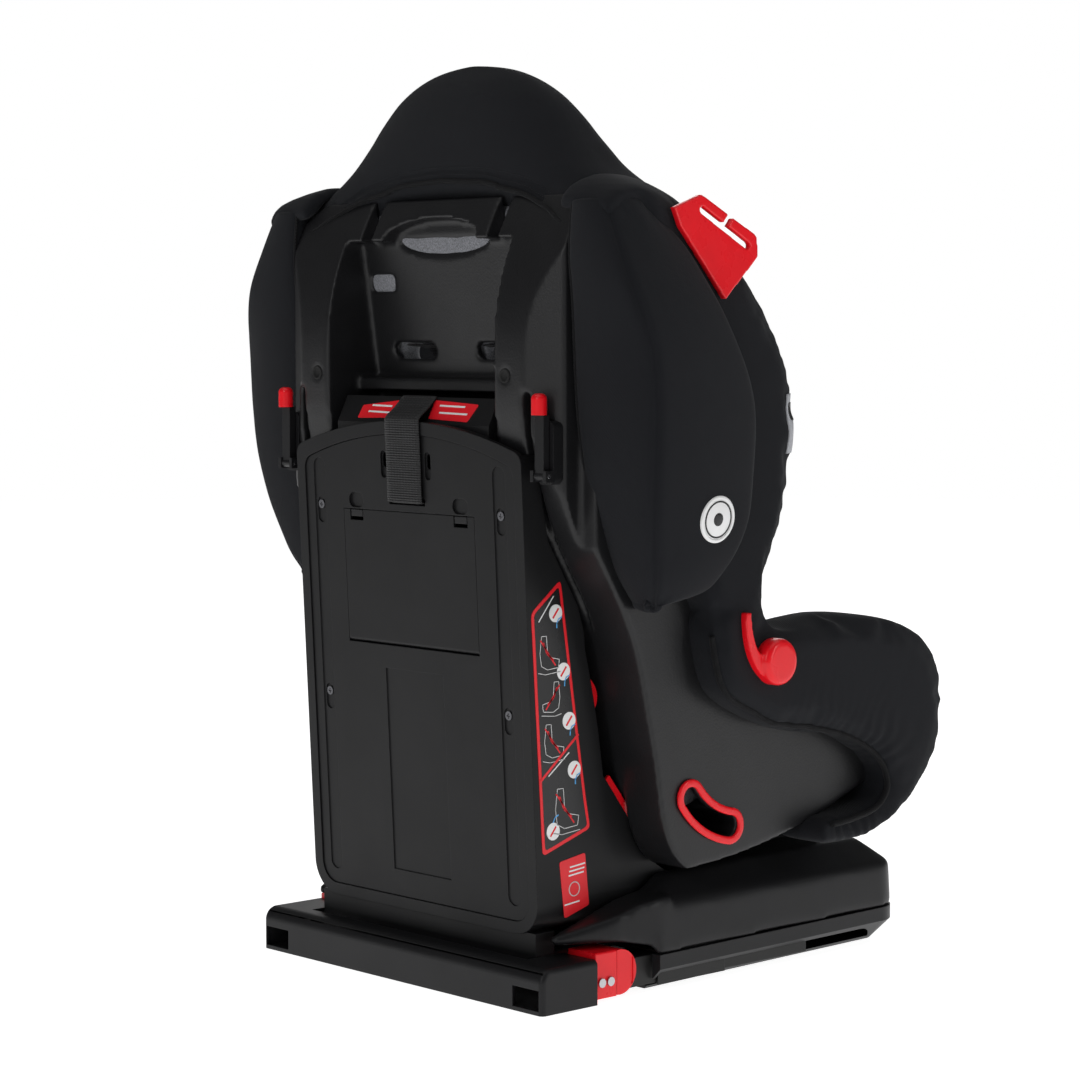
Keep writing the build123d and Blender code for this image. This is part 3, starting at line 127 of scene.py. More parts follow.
# ---------------------------------------------------------------- materials
class Shader:
    """One procedural material. Patterns are worked out from object coordinates, in metres."""

    def __init__(self, name, colour, roughness, **sockets):
        self.material = bpy.data.materials.new(name)
        self.material.use_nodes = True
        self.material.diffuse_color = (*colour, 1)
        self.tree = self.material.node_tree
        self.surface = self.tree.nodes["Principled BSDF"]
        self.colour = colour
        self.surface.inputs["Base Color"].default_value = (*colour, 1)
        self.surface.inputs["Roughness"].default_value = roughness
        for socket, value in sockets.items():
            self.surface.inputs[socket.replace("_", " ")].default_value = value
        self.place = self.tree.nodes.new("ShaderNodeTexCoord").outputs["Object"]
        self.normal = None

    def node(self, kind, inputs=None, **settings):
        made = self.tree.nodes.new(kind)
        for key, value in settings.items():
            setattr(made, key, value)
        for key, value in (inputs or {}).items():
            if isinstance(value, bpy.types.NodeSocket):
                self.tree.links.new(value, made.inputs[key])
            else:
                made.inputs[key].default_value = value
        return made

    def noise(self, scale, detail=3.0, roughness=0.55):
        inputs = {"Vector": self.place, "Scale": scale, "Detail": detail, "Roughness": roughness}
        return self.node("ShaderNodeTexNoise", inputs).outputs["Fac"]

    def cells(self, scale):
        inputs = {"Vector": self.place, "Scale": scale}
        return self.node("ShaderNodeTexVoronoi", inputs, feature="F1").outputs["Distance"]

    def maths(self, operation, first, second=0.0):
        return self.node("ShaderNodeMath", {0: first, 1: second}, operation=operation).outputs[0]

    def ribs(self, direction, period):
        """Sine ribs, one every period metres, counted along direction."""
        along = self.node("ShaderNodeVectorMath", {0: self.place, 1: direction}, operation="DOT_PRODUCT")
        turned = self.maths("MULTIPLY", along.outputs["Value"], 2 * math.pi / period)
        return self.maths("MULTIPLY_ADD", self.maths("SINE", turned), 0.5)

    def ramp(self, factor, stops):
        made = self.node("ShaderNodeValToRGB", {"Fac": factor})
        ramp = made.color_ramp
        while len(ramp.elements) < len(stops):
            ramp.elements.new(0.5)
        for element, (place, value) in zip(ramp.elements, stops):
            element.position = place
            element.color = (*value, 1) if isinstance(value, tuple) else (value, value, value, 1)
        return made.outputs["Color"]

    def bump(self, height, distance, strength=1.0):
        """Adds relief of the given depth in millimetres."""
        inputs = {"Height": height, "Distance": distance * MM, "Strength": strength}
        if self.normal is not None:
            inputs["Normal"] = self.normal
        self.normal = self.node("ShaderNodeBump", inputs).outputs["Normal"]
        self.tree.links.new(self.normal, self.surface.inputs["Normal"])

    def soft_edges(self, radius):
        """Rounds sharp edges in the shading, radius in millimetres."""
        self.normal = self.node("ShaderNodeBevel", {"Radius": radius * MM}, samples=4).outputs["Normal"]
        self.tree.links.new(self.normal, self.surface.inputs["Normal"])

    def paint(self, factor, low, high):
        """Colour that goes from low to high times the base colour as factor goes from 0 to 1."""
        stops = [(0.0, tuple(low * c for c in self.colour)), (1.0, tuple(high * c for c in self.colour))]
        self.tree.links.new(self.ramp(factor, stops), self.surface.inputs["Base Color"])

    def polish(self, factor, low, high):
        """Roughness that goes from low to high as factor goes from 0 to 1."""
        self.tree.links.new(self.ramp(factor, [(0.0, low), (1.0, high)]), self.surface.inputs["Roughness"])


def moulded(name, colour, roughness, grain_scale, grain_depth, **sockets):
    made = Shader(name, colour, roughness, **sockets)
    made.soft_edges(0.7)
    smudge = made.noise(14, 4)
    made.polish(smudge, roughness - 0.07, roughness + 0.09)
    made.paint(made.noise(45, 3), 0.82, 1.25)
    made.bump(made.cells(grain_scale), grain_depth)
    made.bump(smudge, 0.25)
    return made.material


def knitted(name, colour, period=0.9, mix=(0.75, 1.3), fleck=0.0, sheen=0.25):
    made = Shader(name, colour, 0.85, Sheen_Weight=sheen, Sheen_Roughness=0.45, Specular_IOR_Level=0.18)
    rows = made.ribs((0.35, 0.35, 1.0), period * MM)
    wales = made.ribs((1.0, 1.0, -0.2), period * MM)
    weave = made.maths("MULTIPLY", rows, wales)
    fuzz = made.noise(1400, 2)
    shade = made.maths("MULTIPLY_ADD", fuzz, 0.45)
    made.tree.links.new(made.maths("MULTIPLY", weave, 0.55), shade.node.inputs[2])
    if fleck:
        heather = made.ramp(made.noise(900, 4, 0.8), [(0.38, 0.0), (0.62, 1.0)])
        shade = made.node("ShaderNodeMix", {0: fleck, 2: shade, 3: heather}).outputs[0]
    made.paint(shade, *mix)
    made.bump(weave, 0.22)
    made.bump(made.noise(35, 3), 0.8, 0.5)
    return made.material


def woven_strap(name, colour, along=(0, 0, 1), across=(1, 0, 0)):
    made = Shader(name, colour, 0.55, Sheen_Weight=0.05, Specular_IOR_Level=0.35)
    ribs = made.ribs(along, 1.7 * MM)
    cords = made.ribs(across, 3.2 * MM)
    twill = made.maths("MULTIPLY", ribs, made.maths("MULTIPLY_ADD", cords, 0.4))
    made.paint(made.maths("MULTIPLY", twill, made.noise(300, 2)), 0.6, 2.2)
    made.bump(twill, 0.5)
    made.bump(made.noise(900, 2), 0.1)
    return made.material


def polished(name, colour, roughness, **sockets):
    made = Shader(name, colour, roughness, **sockets)
    made.soft_edges(0.5)
    made.polish(made.noise(25, 4), roughness * 0.7, roughness * 1.6)
    made.paint(made.noise(60, 3), 0.9, 1.08)
    made.bump(made.noise(160, 3), 0.05)
    return made.material


BLACK = (0.0095, 0.0095, 0.0105)
MATERIALS = {
    "moulded_black": moulded("moulded_black", BLACK, 0.40, 900, 0.03, Specular_IOR_Level=0.24),
    "tower_black": moulded("tower_black", (0.0085, 0.0085, 0.0092), 0.44, 1300, 0.02, Specular_IOR_Level=0.2),
    "shell_black": moulded("shell_black", (0.010, 0.010, 0.011), 0.37, 620, 0.07, Specular_IOR_Level=0.34),
    "red_plastic": polished("red_plastic", (0.86, 0.006, 0.014), 0.24, Coat_Weight=0.15,
                            Specular_IOR_Level=0.3),
    "black_steel": moulded("black_steel", (0.010, 0.010, 0.010), 0.45, 2200, 0.03, Specular_IOR_Level=0.35),
    "bright_steel": polished("bright_steel", (0.50, 0.50, 0.52), 0.2, Metallic=1.0),
    "screw_steel": polished("screw_steel", (0.13, 0.13, 0.14), 0.3, Metallic=1.0),
    "rubber": moulded("rubber", (0.014, 0.014, 0.014), 0.75, 700, 0.06, Specular_IOR_Level=0.25),
    "webbing": woven_strap("webbing", (0.012, 0.012, 0.013)),
    "fabric_black": knitted("fabric_black", (0.0085, 0.0092, 0.0118), sheen=0.05),
    "fabric_grey": knitted("fabric_grey", (0.22, 0.225, 0.245), 1.1, (0.4, 1.7), 0.6, 0.2),
    "piping": knitted("piping", (0.0065, 0.0065, 0.0075), 0.7, sheen=0.04),
    "label": polished("label", (0.82, 0.012, 0.022), 0.3, Specular_IOR_Level=0.35),
    "label_black": polished("label_black", (0.008, 0.008, 0.009), 0.25, Specular_IOR_Level=0.4),
    "label_white": polished("label_white", (0.88, 0.88, 0.88), 0.35),
    "label_blue": polished("label_blue", (0.10, 0.45, 0.90), 0.35),
    "thread": knitted("thread", (0.022, 0.023, 0.026), 0.5, sheen=0.05),
    "patch_grey": knitted("patch_grey", (0.45, 0.46, 0.49), 0.8, (0.7, 1.3), 0.3, 0.2),
}


def dress(node, material):
    """Gives a CAD node that stays shown its material."""
    mesh = NODES[node].data
    mesh.materials.clear()
    mesh.materials.append(MATERIALS[material])
    for polygon in mesh.polygons:
        polygon.material_index = 0


def dress_frame():
    slots = {row["node"]: row["material_slot"] for row in frame["record"]["subparts"]}
    for node, slot in slots.items():
        dress(node, slot)
    for node in ("tower_housing", "tower_panel", "storage_door", "tower_hood"):
        dress(node, "tower_black")
    dress("panel_screws", "screw_steel")


# ---------------------------------------------------------------- mesh helpers
def add_piece(name, mesh, material, body="seat"):
    """Links a mesh as a smooth piece that rides on a CAD body."""
    piece = bpy.data.objects.new(name, mesh)
    bpy.context.scene.collection.objects.link(piece)
    mesh.materials.clear()
    mesh.materials.append(MATERIALS[material])
    mesh.shade_smooth()
    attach(piece, body)
    return piece


def mesh_from(name, points, faces):
    mesh = bpy.data.meshes.new(name)
    mesh.from_pydata([tuple(p) for p in points], [], faces)
    shape = bmesh.new()
    shape.from_mesh(mesh)
    bmesh.ops.recalc_face_normals(shape, faces=shape.faces)
    shape.to_mesh(mesh)
    shape.free()
    return mesh


def loft(name, rings):
    """Skin over closed rings of points, with a fan to the middle of the first and last ring."""
    count, around = len(rings), len(rings[0])
    points = [p for ring in rings for p in ring]
    faces = []
    for i in range(count - 1):
        for j in range(around):
            k = (j + 1) % around
            faces.append((i * around + j, i * around + k, (i + 1) * around + k, (i + 1) * around + j))
    for first, turn in ((0, 1), ((count - 1) * around, -1)):
        points.append(np.mean(points[first:first + around], axis=0))
        middle = len(points) - 1
        faces += [(first + (j + 1) % around, first + j, middle)[::turn] for j in range(around)]
    return mesh_from(name, points, faces)


def get_points(mesh):
    flat = np.zeros(len(mesh.vertices) * 3, np.float32)
    mesh.vertices.foreach_get("co", flat)
    return flat.reshape(-1, 3).astype(float)


def set_points(mesh, points):
    mesh.vertices.foreach_set("co", np.asarray(points, np.float32).ravel())
    mesh.update()


def get_normals(mesh):
    flat = np.zeros(len(mesh.vertices) * 3, np.float32)
    mesh.vertex_normals.foreach_get("vector", flat)
    return flat.reshape(-1, 3).astype(float)


def bake_modifiers(piece):
    """Replaces the piece's mesh with what its modifiers make of it."""
    bpy.context.view_layer.update()
    seen = piece.evaluated_get(bpy.context.evaluated_depsgraph_get())
    mesh = bpy.data.meshes.new_from_object(seen)
    piece.modifiers.clear()
    piece.data = mesh


def loose_copy(name, mesh):
    """A scratch object with a copy of a mesh."""
    made = bpy.data.objects.new(name, mesh.copy())
    bpy.context.scene.collection.objects.link(made)
    return made


def even_mesh(name, meshes, voxel, smoothing, keep=1.0):
    """One closed skin round all the meshes, its edges rounded by smoothing, with keep of its faces."""
    shape = bmesh.new()
    for mesh in meshes:
        shape.from_mesh(mesh)
    joined = bpy.data.meshes.new(name)
    shape.to_mesh(joined)
    shape.free()
    scratch = loose_copy(name, joined)
    remesh = scratch.modifiers.new("remesh", "REMESH")
    remesh.mode = "VOXEL"
    remesh.voxel_size = voxel * MM
    smooth = scratch.modifiers.new("smooth", "SMOOTH")
    smooth.factor = 0.5
    smooth.iterations = smoothing
    if keep < 1.0:
        scratch.modifiers.new("decimate", "DECIMATE").ratio = keep
    bake_modifiers(scratch)
    mesh = scratch.data
    bpy.data.objects.remove(scratch)
    return mesh


INFLATE_FRAMES = 20


def inflate(mesh, cap, pressure=4.0, pinned=None):
    """Cloth simulation that swells a closed skin, no point further than cap millimetres."""
    scratch = loose_copy("inflating", mesh)
    cloth = scratch.modifiers.new("cloth", "CLOTH")
    settings = cloth.settings
    settings.use_pressure = True
    settings.uniform_pressure_force = pressure
    settings.effector_weights.gravity = 0
    settings.quality = 4
    settings.tension_stiffness = 12
    settings.compression_stiffness = 12
    if pinned is not None and len(pinned):
        group = scratch.vertex_groups.new(name="pinned")
        group.add([int(i) for i in pinned], 1.0, "REPLACE")
        settings.vertex_group_mass = "pinned"
    cloth.point_cache.frame_start = 1
    cloth.point_cache.frame_end = INFLATE_FRAMES
    scene = bpy.context.scene
    for step in range(1, INFLATE_FRAMES + 1):
        scene.frame_set(step)
    bpy.context.view_layer.update()
    seen = scratch.evaluated_get(bpy.context.evaluated_depsgraph_get())
    start, end = get_points(mesh), get_points(seen.data)
    move = end - start
    length = np.linalg.norm(move, axis=1, keepdims=True)
    move *= np.minimum(1.0, cap * MM / np.maximum(length, 1e-9))
    bpy.data.objects.remove(scratch)
    scene.frame_set(1)
    set_points(mesh, start + move)
    return mesh


def subdivide(piece):
    modifier = piece.modifiers.new("subdivision", "SUBSURF")
    modifier.levels = modifier.render_levels = 1
    bake_modifiers(piece)


def smooth_line(points, spacing=2.0, closed=False):
    """Points every spacing millimetres along a smooth curve through the given ones, all in metres."""
    knots = np.array(points, float)
    if closed:
        knots = np.vstack([knots[-1], knots, knots[0], knots[1]])
    else:
        knots = np.vstack([2 * knots[0] - knots[1], knots, 2 * knots[-1] - knots[-2]])
    fine = []
    for a, b, c, d in zip(knots, knots[1:], knots[2:], knots[3:]):
        for t in np.linspace(0, 1, 24, endpoint=False):
            fine.append(0.5 * (2 * b + (c - a) * t + (2 * a - 5 * b + 4 * c - d) * t * t
                               + (3 * b - a - 3 * c + d) * t ** 3))
    fine.append(knots[1] if closed else knots[-2])
    fine = np.array(fine)
    run = np.concatenate([[0], np.cumsum(np.linalg.norm(np.diff(fine, axis=0), axis=1))])
    places = np.linspace(0, run[-1], max(3, int(run[-1] / (spacing * MM)) + 1))
    return np.stack([np.interp(places, run, fine[:, k]) for k in range(3)], axis=1)


def onto(piece, line):
    """Moves each point of a line to the nearest place on a piece, and returns the places and normals there."""
    mesh = piece.data
    tree = BVHTree.FromPolygons([tuple(v.co) for v in mesh.vertices], [tuple(p.vertices) for p in mesh.polygons])
    places, normals = [], []
    for point in line:
        place, normal, _, _ = tree.find_nearest(Vector(point))
        places.append(tuple(place))
        normals.append(tuple(normal))
    return np.array(places), np.array(normals)


def near_line(points, line):
    """Distance from each point to a line of close points, and how far along the line that is."""
    tree = KDTree(len(line))
    for i, place in enumerate(line):
        tree.insert(place, i)
    tree.balance()
    found = [tree.find(point) for point in points]
    return np.array([f[2] for f in found]), np.array([f[1] for f in found])


def groove(piece, line, depth, width):
    """Presses a sewn line into a piece, depth and width in millimetres."""
    points, normals = get_points(piece.data), get_normals(piece.data)
    distance, _ = near_line(points, line)
    push = depth * MM * np.exp(-(distance / (width * MM)) ** 2)
    set_points(piece.data, points - normals * push[:, None])


CORD_SIDES = 8


def tube(name, line, radius):
    """A round piping cord of the given radius in millimetres along a line of points."""
    line = np.asarray(line, float)
    along = np.gradient(line, axis=0)
    along /= np.maximum(np.linalg.norm(along, axis=1, keepdims=True), 1e-9)
    side = np.cross(along[0], (0.3, 0.2, 1.0))
    side /= np.linalg.norm(side)
    rings = []
    for place, way in zip(line, along):
        side = side - way * np.dot(side, way)
        side /= np.linalg.norm(side)
        up = np.cross(way, side)
        turn = np.linspace(0, 2 * math.pi, CORD_SIDES, endpoint=False)
        rings.append([place + radius * MM * (math.cos(t) * side + math.sin(t) * up) for t in turn])
    cord = add_piece(name, loft(name, rings), "piping")
    return cord


STITCH_LIFT = 0.15


def stitches(name, line, normals, pitch, length, radius):
    """A row of thread stitches that lie on a surface along a line of close points; sizes in millimetres."""
    step = np.linalg.norm(np.diff(line, axis=0), axis=1)
    run = np.concatenate([[0], np.cumsum(step)])
    starts = np.arange(0, run[-1] - length * MM, pitch * MM)
    points, faces = [], []
    for start in starts:
        ends = [np.array([np.interp(start + f * length * MM, run, line[:, k]) for k in range(3)])
                for f in (0, 0.5, 1)]
        index = min(int(np.searchsorted(run, start)), len(normals) - 1)
        normal = normals[index]
        way = ends[2] - ends[0]
        side = np.cross(way, normal)
        side /= max(np.linalg.norm(side), 1e-9)
        first = len(points)
        for end, swell in zip(ends, (0.35, 1.0, 0.35)):
            middle = end + normal * STITCH_LIFT * MM
            for a, b in ((1, 0), (0, 1), (-1, 0), (0, -1)):
                points.append(middle + swell * radius * MM * (a * side + b * normal))
        for ring in (0, 4):
            for j in range(4):
                k = (j + 1) % 4
                faces.append((first + ring + j, first + ring + k, first + ring + 4 + k, first + ring + 4 + j))
        faces.append((first + 3, first + 2, first + 1, first))
        faces.append((first + 8, first + 9, first + 10, first + 11))
    row = add_piece(name, mesh_from(name, points, faces), "thread")


def table(rows, column):
    """A function of the first column of rows, read by straight lines between them."""
    rows = sorted(rows)
    firsts = [row[0] for row in rows]
    values = [row[column] for row in rows]
    return lambda place: float(np.interp(place, firsts, values))


SIDES = (("right", -1), ("left", 1))

# ---------------------------------------------------------------- side pods
POD_LOW, POD_HIGH = 283.0, 560.0
POD_SEAM = [(280, 192, 143), (290, 200, 150), (300, 206, 154), (339, 216, 166), (378, 224, 172), (417, 227, 174),
            (456, 227, 176), (478, 223, 181), (504, 213.6, 186), (547, 190, 182), (560, 184, 179)]
POD_FRONT = [(283, 196, 138), (290, 205, 100), (315, 216, 82), (340, 218, 68), (380, 220, 66),
             (402, 220, 64), (424, 219, 64), (450, 218, 74), (489, 213, 94), (531, 196, 114), (548, 188, 130),
             (560, 184, 144)]
POD_INNER = [(283, 152, 128), (305, 150, 149), (352, 150, 168), (409, 150, 179), (446, 150, 182), (499, 150, 184),
             (525, 150, 187), (560, 151, 184)]
POD_SPANS = (18, 28, 5, 14, 8, 5)         # faces between the corners of a pod's section


def pod_section(height):
    seam = [table(POD_SEAM, 1)(height), table(POD_SEAM, 2)(height)]
    front = [table(POD_FRONT, 1)(height), table(POD_FRONT, 2)(height)]
    inner = [table(POD_INNER, 1)(height), table(POD_INNER, 2)(height)]
    face = min(191.5, front[0] - 6)
    corners = [inner, seam, front, [face, front[1] + 5], [face, max(151.0, front[1] + 8)], [153, inner[1] - 16]]
    ring = []
    for i, span in enumerate(POD_SPANS):
        a, b = np.array(corners[i]), np.array(corners[(i + 1) % len(corners)])
        across = b - a
        out = np.array([-across[1], across[0]]) / max(np.linalg.norm(across), 1e-6)
        crown = (4.0, 5.0, 0, 0, 0, 0)[i]
        for t in np.arange(span) / span:
            ring.append(a + across * t + out * crown * 4 * t * (1 - t))
    ring = np.array(ring)
    for _ in range(5):
        ring = (np.roll(ring, 1, axis=0) + 2 * ring + np.roll(ring, -1, axis=0)) / 4
    return ring


POD_END_LIFTS, POD_END_HIGH = (2.0, 4.0, 5.8), 7.0


def pod_end(section, lift):
    """Ring of a pod's rounded end, lift millimetres past its last full section."""
    middle = section.mean(axis=0)
    return middle + (section - middle) * math.sqrt(1 - (lift / POD_END_HIGH) ** 2)


def make_pod(name, side):
    share = (1 - np.cos(np.linspace(0, math.pi, 60))) / 2
    heights = POD_LOW + (POD_HIGH - POD_LOW) * share
    sections = np.array([pod_section(h) for h in heights])
    for _ in range(4):
        sections[1:-1] = (sections[:-2] + 2 * sections[1:-1] + sections[2:]) / 4
    rings = [(pod_end(sections[0], lift), heights[0] - lift) for lift in POD_END_LIFTS[::-1]]
    rings += list(zip(sections, heights))
    rings += [(pod_end(sections[-1], lift), heights[-1] + lift * 0.6) for lift in POD_END_LIFTS]
    points = [[(side * p[0] * MM, p[1] * MM, z * MM) for p in section] for section, z in rings]
    mesh = loft("side_pod_" + name, points)
    around = sum(POD_SPANS)
    seams = (0, POD_SPANS[0])
    held = [i * around + s for i in range(len(rings)) for s in seams]
    held += [i * around + s for i in range(len(rings)) for s in range(POD_SPANS[0] + POD_SPANS[1] + 4, around)]
    inflate(mesh, 4.0, 3.0, held)
    pod = add_piece("side_pod_" + name, mesh, "fabric_black")
    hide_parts("side_pod_" + name)
    subdivide(pod)
    seam_line = smooth_line([points[i][POD_SPANS[0]] for i in range(2, len(points) - 2, 4)])
    edge_line = smooth_line([points[i][0] for i in range(2, len(points) - 2, 4)])
    seam_line, _ = onto(pod, seam_line)
    groove(pod, seam_line, 2.2, 2.6)
    edge_places, edge_normals = onto(pod, edge_line)
    tube("pod_edging_" + name, edge_places, 1.3)
    stitches("pod_edge_stitches_" + name, edge_places + edge_normals * 1.2 * MM, edge_normals, 2.4, 1.5, 0.4)
    return pod


# ---------------------------------------------------------------- side covers: wing and arm in one
COVER_OUTLINE = [
    (150, 546), (176, 547), (185, 553), (184, 563), (172, 572), (150, 573), (128, 565), (92, 543), (57, 520),
    (35, 501), (13, 474), (-2, 443), (-8, 416), (-8, 381), (-4, 358),
    (4, 330), (14, 307), (22, 288), (24, 272), (16, 261), (0, 257), (-24, 259), (-57, 260), (-100, 257),
    (-131, 250), (-153, 240), (-168, 226), (-178, 206), (-180, 186), (-177, 163), (-170, 144), (-154, 124),
    (-138, 110), (-118, 99), (-98, 92), (-74, 89), (-44, 90), (-46, 106), (-80, 109), (-104, 114), (-114, 126),
    (-112, 138), (-95, 153), (-65, 167), (-29, 176), (10, 183), (37, 195), (53, 203), (68, 215), (76, 234),
    (81, 253), (84, 275), (110, 320), (148, 400),
]
COVER_IN, COVER_OUT = 137.0, 188.0
HEM = [(-50, 107), (-80, 110), (-102, 116), (-112, 127), (-110, 137), (-94, 152), (-65, 166), (-29, 175),
       (10, 182), (37, 195), (53, 204), (67, 216), (75, 235), (80, 256)]


def wing_rise(y, z):
    """How much higher the wing's top stands at its inner face than at its outer face."""
    by_height = np.interp(z, [440, 474, 520, 543, 566, 573], [0, 5, 20, 32, 20, 13])
    return by_height * np.interp(y, [150, 190], [1, 0.15])


def make_side_cover(name, side):
    near, far = sorted((side * COVER_IN * MM, side * COVER_OUT * MM))
    outline = smooth_line([(0, y * MM, z * MM) for y, z in COVER_OUTLINE], 6.0, closed=True)[:-1]
    inner, outer = (near, far) if side > 0 else (far, near)
    rings = []
    for share in (0.0, 0.3, 0.55, 0.75, 0.9, 1.0):
        rise = 1 - share ** 2
        x = inner + (outer - inner) * share
        rings.append([(x, p[1], p[2] + rise * wing_rise(p[1] / MM, p[2] / MM) * MM) for p in outline])
    count, last = len(outline), (len(rings) - 1) * len(outline)
    faces = [tuple(range(count)), tuple(range(last, last + count))]
    for first in range(0, last, count):
        for j in range(count):
            k = (j + 1) % count
            faces.append((first + j, first + k, first + count + k, first + count + j))
    slab = mesh_from("slab", [p for ring in rings for p in ring], faces)
    mesh = even_mesh("side_cover_" + name, [slab], 4.0, 14)
    inflate(mesh, 4.5, 3.5)
    cover = add_piece("side_cover_" + name, mesh, "fabric_black")
    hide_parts("wing_cover_" + name, "arm_cover_" + name)
    subdivide(cover)
    outer = side * COVER_OUT * MM
    hem = smooth_line([(outer, y * MM, z * MM) for y, z in HEM], 1.0)
    places, _ = onto(cover, smooth_line([(outer - side * 2 * MM, y * MM, z * MM) for y, z in HEM], 2.0))
    gather(cover, hem, side)
    tube("cover_hem_" + name, places, 2.2)
    return cover


def gather(cover, hem, side):
    """Radiating folds where the elastic hem draws the fabric in."""
    points, normals = get_points(cover.data), get_normals(cover.data)
    distance, index = near_line(points, hem)
    along = index * 1.0                   # millimetres from the hem's start
    reach = 26.0 * MM
    fade = np.exp(-(distance / reach) ** 1.5)
    total = len(hem)
    strong = np.interp(along / total, [0.0, 0.03, 0.3, 0.5, 0.62, 0.7], [0.8, 1.0, 1.0, 0.7, 0.25, 0.0])
    phase = (along * 2 * math.pi / 9.5 + 2.2 * np.sin(along / 21.0)
             + 1.3 * np.sin(along / 9.0 + distance / (7 * MM)))
    wave = np.sin(phase) * (0.7 + 0.3 * np.sin(along / 13.0))
    outward = np.clip(normals[:, 0] * side + 0.15, 0, 1)
    lift = 0.8 * MM * wave * fade * strong * outward
    draw = 3.0 * MM * np.exp(-(distance / (9 * MM)) ** 2) * np.clip(strong, 0.3, 1) * outward
    set_points(cover.data, points + normals * (lift - draw)[:, None])


# ---------------------------------------------------------------- head cover
HEAD_HALF = [(526, 171), (545, 173), (556, 171), (565, 166), (574, 154), (582, 140), (590, 129), (600, 119),
             (612, 108), (620, 102), (630, 93), (638, 84), (647, 71), (653, 59), (658, 46), (661, 33), (663, 17),
             (663.8, 4)]
HEAD_REAR = [(526, 189), (537, 186), (548, 180), (564, 171.5), (573, 168), (585, 168.5), (600, 167), (620, 164),
             (640, 158), (652, 151), (660, 143), (663.8, 139)]
HEAD_FRONT = [(526, 100), (548, 92), (575, 88), (600, 90), (620, 96), (640, 106), (652, 116), (660, 127),
              (663.8, 135)]
HEM_HEIGHTS = [(0, 579), (45, 576.5), (90, 568), (118, 557.5), (134, 548), (146, 540), (158, 533), (174, 527)]
HEM_BAND = 9.0                            # height of the stitched band above the hem


def head_section(height, turns):
    """Ring round the cover: nearly square over the shell's shoulders, rounder towards the top."""
    half_at, rear_at, front_at, hem_at = (table(rows, 1)
                                          for rows in (HEAD_HALF, HEAD_REAR, HEAD_FRONT, HEM_HEIGHTS))
    square = np.interp(height, [550, 590, 630], [0.42, 0.6, 0.78])
    ring = []
    for t in turns:
        c, s = math.cos(t), math.sin(t)
        z = height
        for _ in range(4):
            x = half_at(z) * math.copysign(abs(c) ** square, c)
            z = max(height, hem_at(abs(x)) + 0.01 * (height - 580))
        rear, front = rear_at(z), front_at(z)
        ring.append([x, (rear + front) / 2 + (rear - front) / 2 * math.copysign(abs(s) ** square, s), z])
    return ring


def make_head_cover():
    turns = np.linspace(0, 2 * math.pi, 112, endpoint=False)
    heights = np.concatenate([np.linspace(526, 640, 44), 640 + 23.8 * np.sin(np.linspace(0.05, math.pi / 2, 16))])
    rings = np.array([head_section(height, turns) for height in heights])
    for _ in range(2):
        rings[1:-1] = (rings[:-2] + 2 * rings[1:-1] + rings[2:]) / 4
    mesh = loft("head_cover", (rings * MM).tolist())
    cover = add_piece("head_cover_fabric", mesh, "fabric_black")
    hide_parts("head_cover")
    subdivide(cover)

    def hem_line(rise):
        """Line on the rear of the cover, rise millimetres above the hem."""
        line = []
        for x in np.linspace(-166, 166, 45):
            z = table(HEM_HEIGHTS, 1)(abs(x)) + rise
            fall = max(0.0, abs(x) - 118.0)
            line.append((x * MM, (table(HEAD_REAR, 1)(z) + 3 - fall * fall / 75) * MM, z * MM))
        return onto(cover, smooth_line(line, 1.5))

    places, normals = hem_line(HEM_BAND)
    groove(cover, places, 1.3, 1.5)
    places, normals = hem_line(1.0)
    tube("head_cover_rim", places + normals * 0.3 * MM, 1.9)
    for row, rise in (("low", HEM_BAND - 2.6), ("high", HEM_BAND + 1.8)):
        places, normals = hem_line(rise)
        stitches("head_stitches_" + row, places, normals, 2.8, 2.0, 0.3)
    return cover


# ---------------------------------------------------------------- moulded shells
PLUG_X, PLUG_Z = 104.3, 440.5
PLUG_PROFILE = [(5.2, -3), (5.2, 0.1), (4.8, 0.45), (3.6, 0.45), (3.3, -0.6), (0.4, -0.7)]


def make_cast(node, material, body, voxel, smoothing, keep, fillers=()):
    """A moulding with its edges rounded, in place of a CAD node."""
    mesh = even_mesh(node + "_moulding", [NODES[node].data, *fillers], voxel, smoothing, keep)
    cast = add_piece(node + "_moulding", mesh, material, body)
    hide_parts(node)
    return cast


def slab_mesh(name, low, high):
    """A closed block between two corners, in millimetres."""
    points = [(x * MM, y * MM, z * MM)
              for x in (low[0], high[0]) for y in (low[1], high[1]) for z in (low[2], high[2])]
    faces = [(0, 1, 3, 2), (4, 6, 7, 5), (0, 4, 5, 1), (2, 3, 7, 6), (0, 2, 6, 4), (1, 5, 7, 3)]
    return mesh_from(name, points, faces)


def make_shell_fillers():
    """Thickens the thin web behind the crescent hollow, so that it stays closed."""
    return [slab_mesh("web", (-50, 163.5, 540), (50, 166.5, 556))]


def make_shell_plugs():
    """Dark plugs in the two round blind holes of the shell's rear beam."""
    shell = NODES["seat_shell"].data
    tree = BVHTree.FromPolygons([tuple(v.co) for v in shell.vertices], [tuple(p.vertices) for p in shell.polygons])
    for name, side in SIDES:
        x, y, z = np.array((side * PLUG_X, 0, PLUG_Z)) * MM
        spots = [tree.ray_cast(Vector((x + dx * MM, 0.3, z)), Vector((0, -1, 0)))[0] for dx in (-9, 9)]
        y = max(spot.y for spot in spots if spot is not None)
        plug = turned_disc("shell_plug_" + name, (x, y, z), (0, 1, 0), PLUG_PROFILE, "rubber")


# ---------------------------------------------------------------- straps
RIB_SPACING = 1.9                         # points of a strap's line, half a millimetre apart, per half rib


